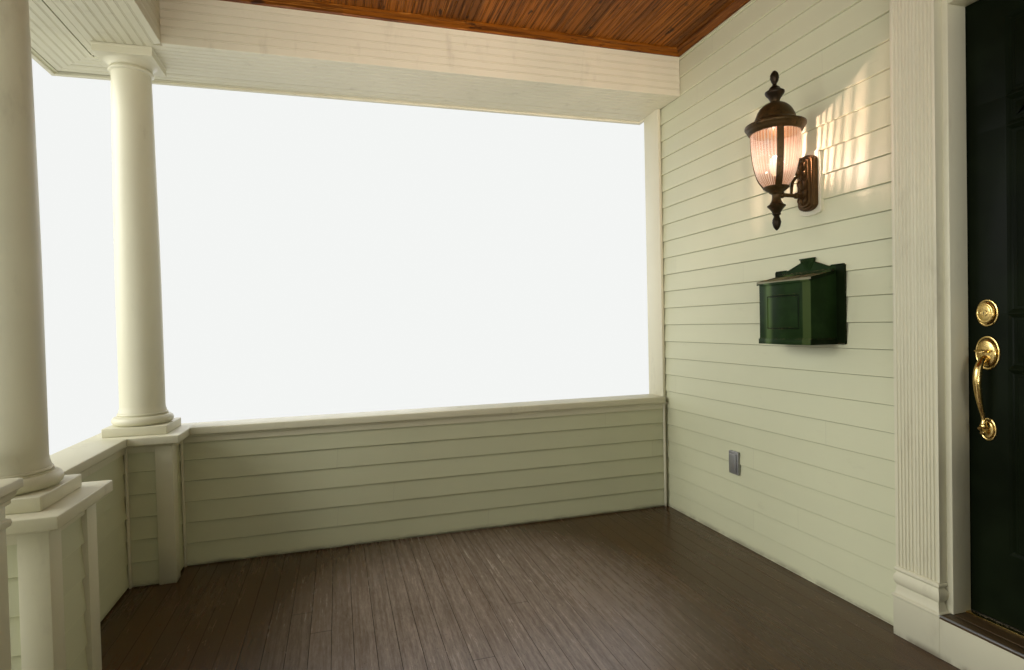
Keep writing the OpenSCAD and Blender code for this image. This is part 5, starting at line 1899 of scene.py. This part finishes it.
class PORCH_OT_stage(bpy.types.Operator):
    """Set the floor, the lights and the camera"""
    bl_idname = "porch.stage"
    bl_label = "Stage"

    def execute(self, context):
        scene = context.scene
        everything_off()
        bpy.ops.mesh.primitive_plane_add(size=60, location=(0, 0, -0.002))
        ground = bpy.context.object
        ground.name = "stage_floor"
        pale = (0.90, 0.915, 0.90, 1.0)
        floor = Finish("stage floor", 0.9)
        soft = floor.noise(0.3, detail=1.0)
        floor.give("Base Color", floor.mix(soft, (0.74, 0.74, 0.73), (0.76, 0.76, 0.75)))
        ray = floor.add("ShaderNodeLightPath")
        away = floor.add("ShaderNodeVectorMath", {"operation": "LENGTH"}, {0: floor.place}, out=1)
        haze = floor.add("ShaderNodeEmission", inputs={"Color": pale})
        mixed = floor.add("ShaderNodeMixShader", inputs={0: ray * away.between(5.0, 9.0)})
        nodes, links = floor.tree.nodes, floor.tree.links
        links.new(floor.shader.outputs[0], mixed.socket.node.inputs[1])
        links.new(haze.socket, mixed.socket.node.inputs[2])
        links.new(mixed.socket, nodes["Material Output"].inputs["Surface"])
        ground.data.materials.append(floor.material)

        world = bpy.data.worlds.new("pale sky")
        scene.world = world
        world.use_nodes = True
        nodes, links = world.node_tree.nodes, world.node_tree.links
        sky = nodes["Background"]
        sky.inputs["Color"].default_value = (0.96, 0.97, 0.98, 1.0)
        sky.inputs["Strength"].default_value = 0.60
        seen = nodes.new("ShaderNodeBackground")
        seen.inputs["Color"].default_value = pale
        rays = nodes.new("ShaderNodeLightPath")
        total = rays.outputs["Is Camera Ray"]
        for name in ("Is Glossy Ray", "Is Transmission Ray"):
            either = nodes.new("ShaderNodeMath")
            either.operation = "MAXIMUM"
            links.new(total, either.inputs[0])
            links.new(rays.outputs[name], either.inputs[1])
            total = either.outputs[0]
        mixed = nodes.new("ShaderNodeMixShader")
        links.new(total, mixed.inputs[0])
        links.new(sky.outputs[0], mixed.inputs[1])
        links.new(seen.outputs[0], mixed.inputs[2])
        links.new(mixed.outputs[0], nodes["World Output"].inputs["Surface"])

        def lamp(name, place, target, size, power, colour=(1, 1, 1), spread=180):
            light = bpy.data.lights.new(name, "AREA")
            light.shape = "RECTANGLE"
            light.size, light.size_y = size
            light.energy = power
            light.color = colour
            light.spread = math.radians(spread)
            holder = bpy.data.objects.new(name, light)
            scene.collection.objects.link(holder)
            holder.location = place
            turn = (Vector(target) - Vector(place)).to_track_quat("-Z", "Y")
            holder.rotation_euler = turn.to_euler()

        lamp("street_light", (-1.0, -8.5, 4.3), (-0.2, -1.0, 1.8), (6, 4), 500)
        lamp("garden_light", (-8.0, -2.5, 3.0), (-1, -1.5, 1.6), (4, 3), 60)
        lamp("side_light", (6.5, -3.8, 1.0), (-1.0, -2.8, 2.3), (4, 0.8), 165)
        lamp("back_light", (0.5, 8.0, 5.0), (0, 0, 2.0), (6, 4), 300)
        lamp("porch_fill", (0.9, -2.2, 2.2), (-2.1, -1.2, 3.35), (0.9, 0.6), 12,
             (1.0, 0.80, 0.78), 75)

        bulb_top = 0.118
        glow = bpy.data.lights.new("lantern_glow", "POINT")
        glow.energy = 24.0
        glow.color = (1.0, 0.66, 0.60)
        glow.shadow_soft_size = 0.004
        spot = bpy.data.objects.new("lantern_glow", glow)
        scene.collection.objects.link(spot)
        spot.location = lantern_axis() + Vector((0, 0, bulb_top))

        yaw, pitch, roll = (math.radians(angle) for angle in (YAW, PITCH, ROLL))
        ahead = Vector((-math.cos(yaw) * math.cos(pitch), math.sin(yaw) * math.cos(pitch),
                        math.sin(pitch)))
        right = Vector((math.sin(yaw), math.cos(yaw), 0))
        up = right.cross(ahead)
        right, up = (math.cos(roll) * right + math.sin(roll) * up,
                     math.cos(roll) * up - math.sin(roll) * right)
        lens = bpy.data.cameras.new("porch_camera")
        lens.sensor_width = SENSOR
        lens.lens = LENS
        lens.clip_start = 0.05
        camera = bpy.data.objects.new("porch_camera", lens)
        scene.collection.objects.link(camera)
        turn = Matrix((right, up, -ahead)).transposed().to_4x4()
        camera.matrix_world = Matrix.Translation(CAMERA) @ turn
        scene.camera = camera
        scene.view_settings.view_transform = "Standard"
        return {"FINISHED"}


STEPS = (
    PORCH_OT_finishes, PORCH_OT_stage, PORCH_OT_foundation, PORCH_OT_deck, PORCH_OT_house_wall,
    PORCH_OT_half_walls, PORCH_OT_newels, PORCH_OT_columns, PORCH_OT_beams, PORCH_OT_ceiling,
    PORCH_OT_roof, PORCH_OT_door_frame, PORCH_OT_door, PORCH_OT_hardware, PORCH_OT_lantern,
    PORCH_OT_mailbox, PORCH_OT_outlet)


class PORCH_PT_panel(bpy.types.Panel):
    """Sizes, colours and steps of the porch"""
    bl_idname = "PORCH_PT_panel"
    bl_label = "Front porch"
    bl_space_type = "VIEW_3D"
    bl_region_type = "UI"
    bl_category = "Porch"

    def draw(self, context):
        layout = self.layout
        for group in (context.scene.porch_sizes, context.scene.porch_colours):
            column = layout.column(align=True)
            for name in group.__annotations__:
                column.prop(group, name)
        for step in STEPS:
            layout.operator(step.bl_idname)


CLASSES = (PorchSizes, PorchColours, *STEPS, PORCH_PT_panel)


def register():
    for cls in CLASSES:
        bpy.utils.register_class(cls)
    bpy.types.Scene.porch_sizes = PointerProperty(type=PorchSizes)
    bpy.types.Scene.porch_colours = PointerProperty(type=PorchColours)


def unregister():
    del bpy.types.Scene.porch_colours
    del bpy.types.Scene.porch_sizes
    for cls in reversed(CLASSES):
        bpy.utils.unregister_class(cls)


def main():
    register()
    for step in STEPS:
        group, name = step.bl_idname.split(".")
        getattr(getattr(bpy.ops, group), name)()


if __name__ == "__main__":
    main()
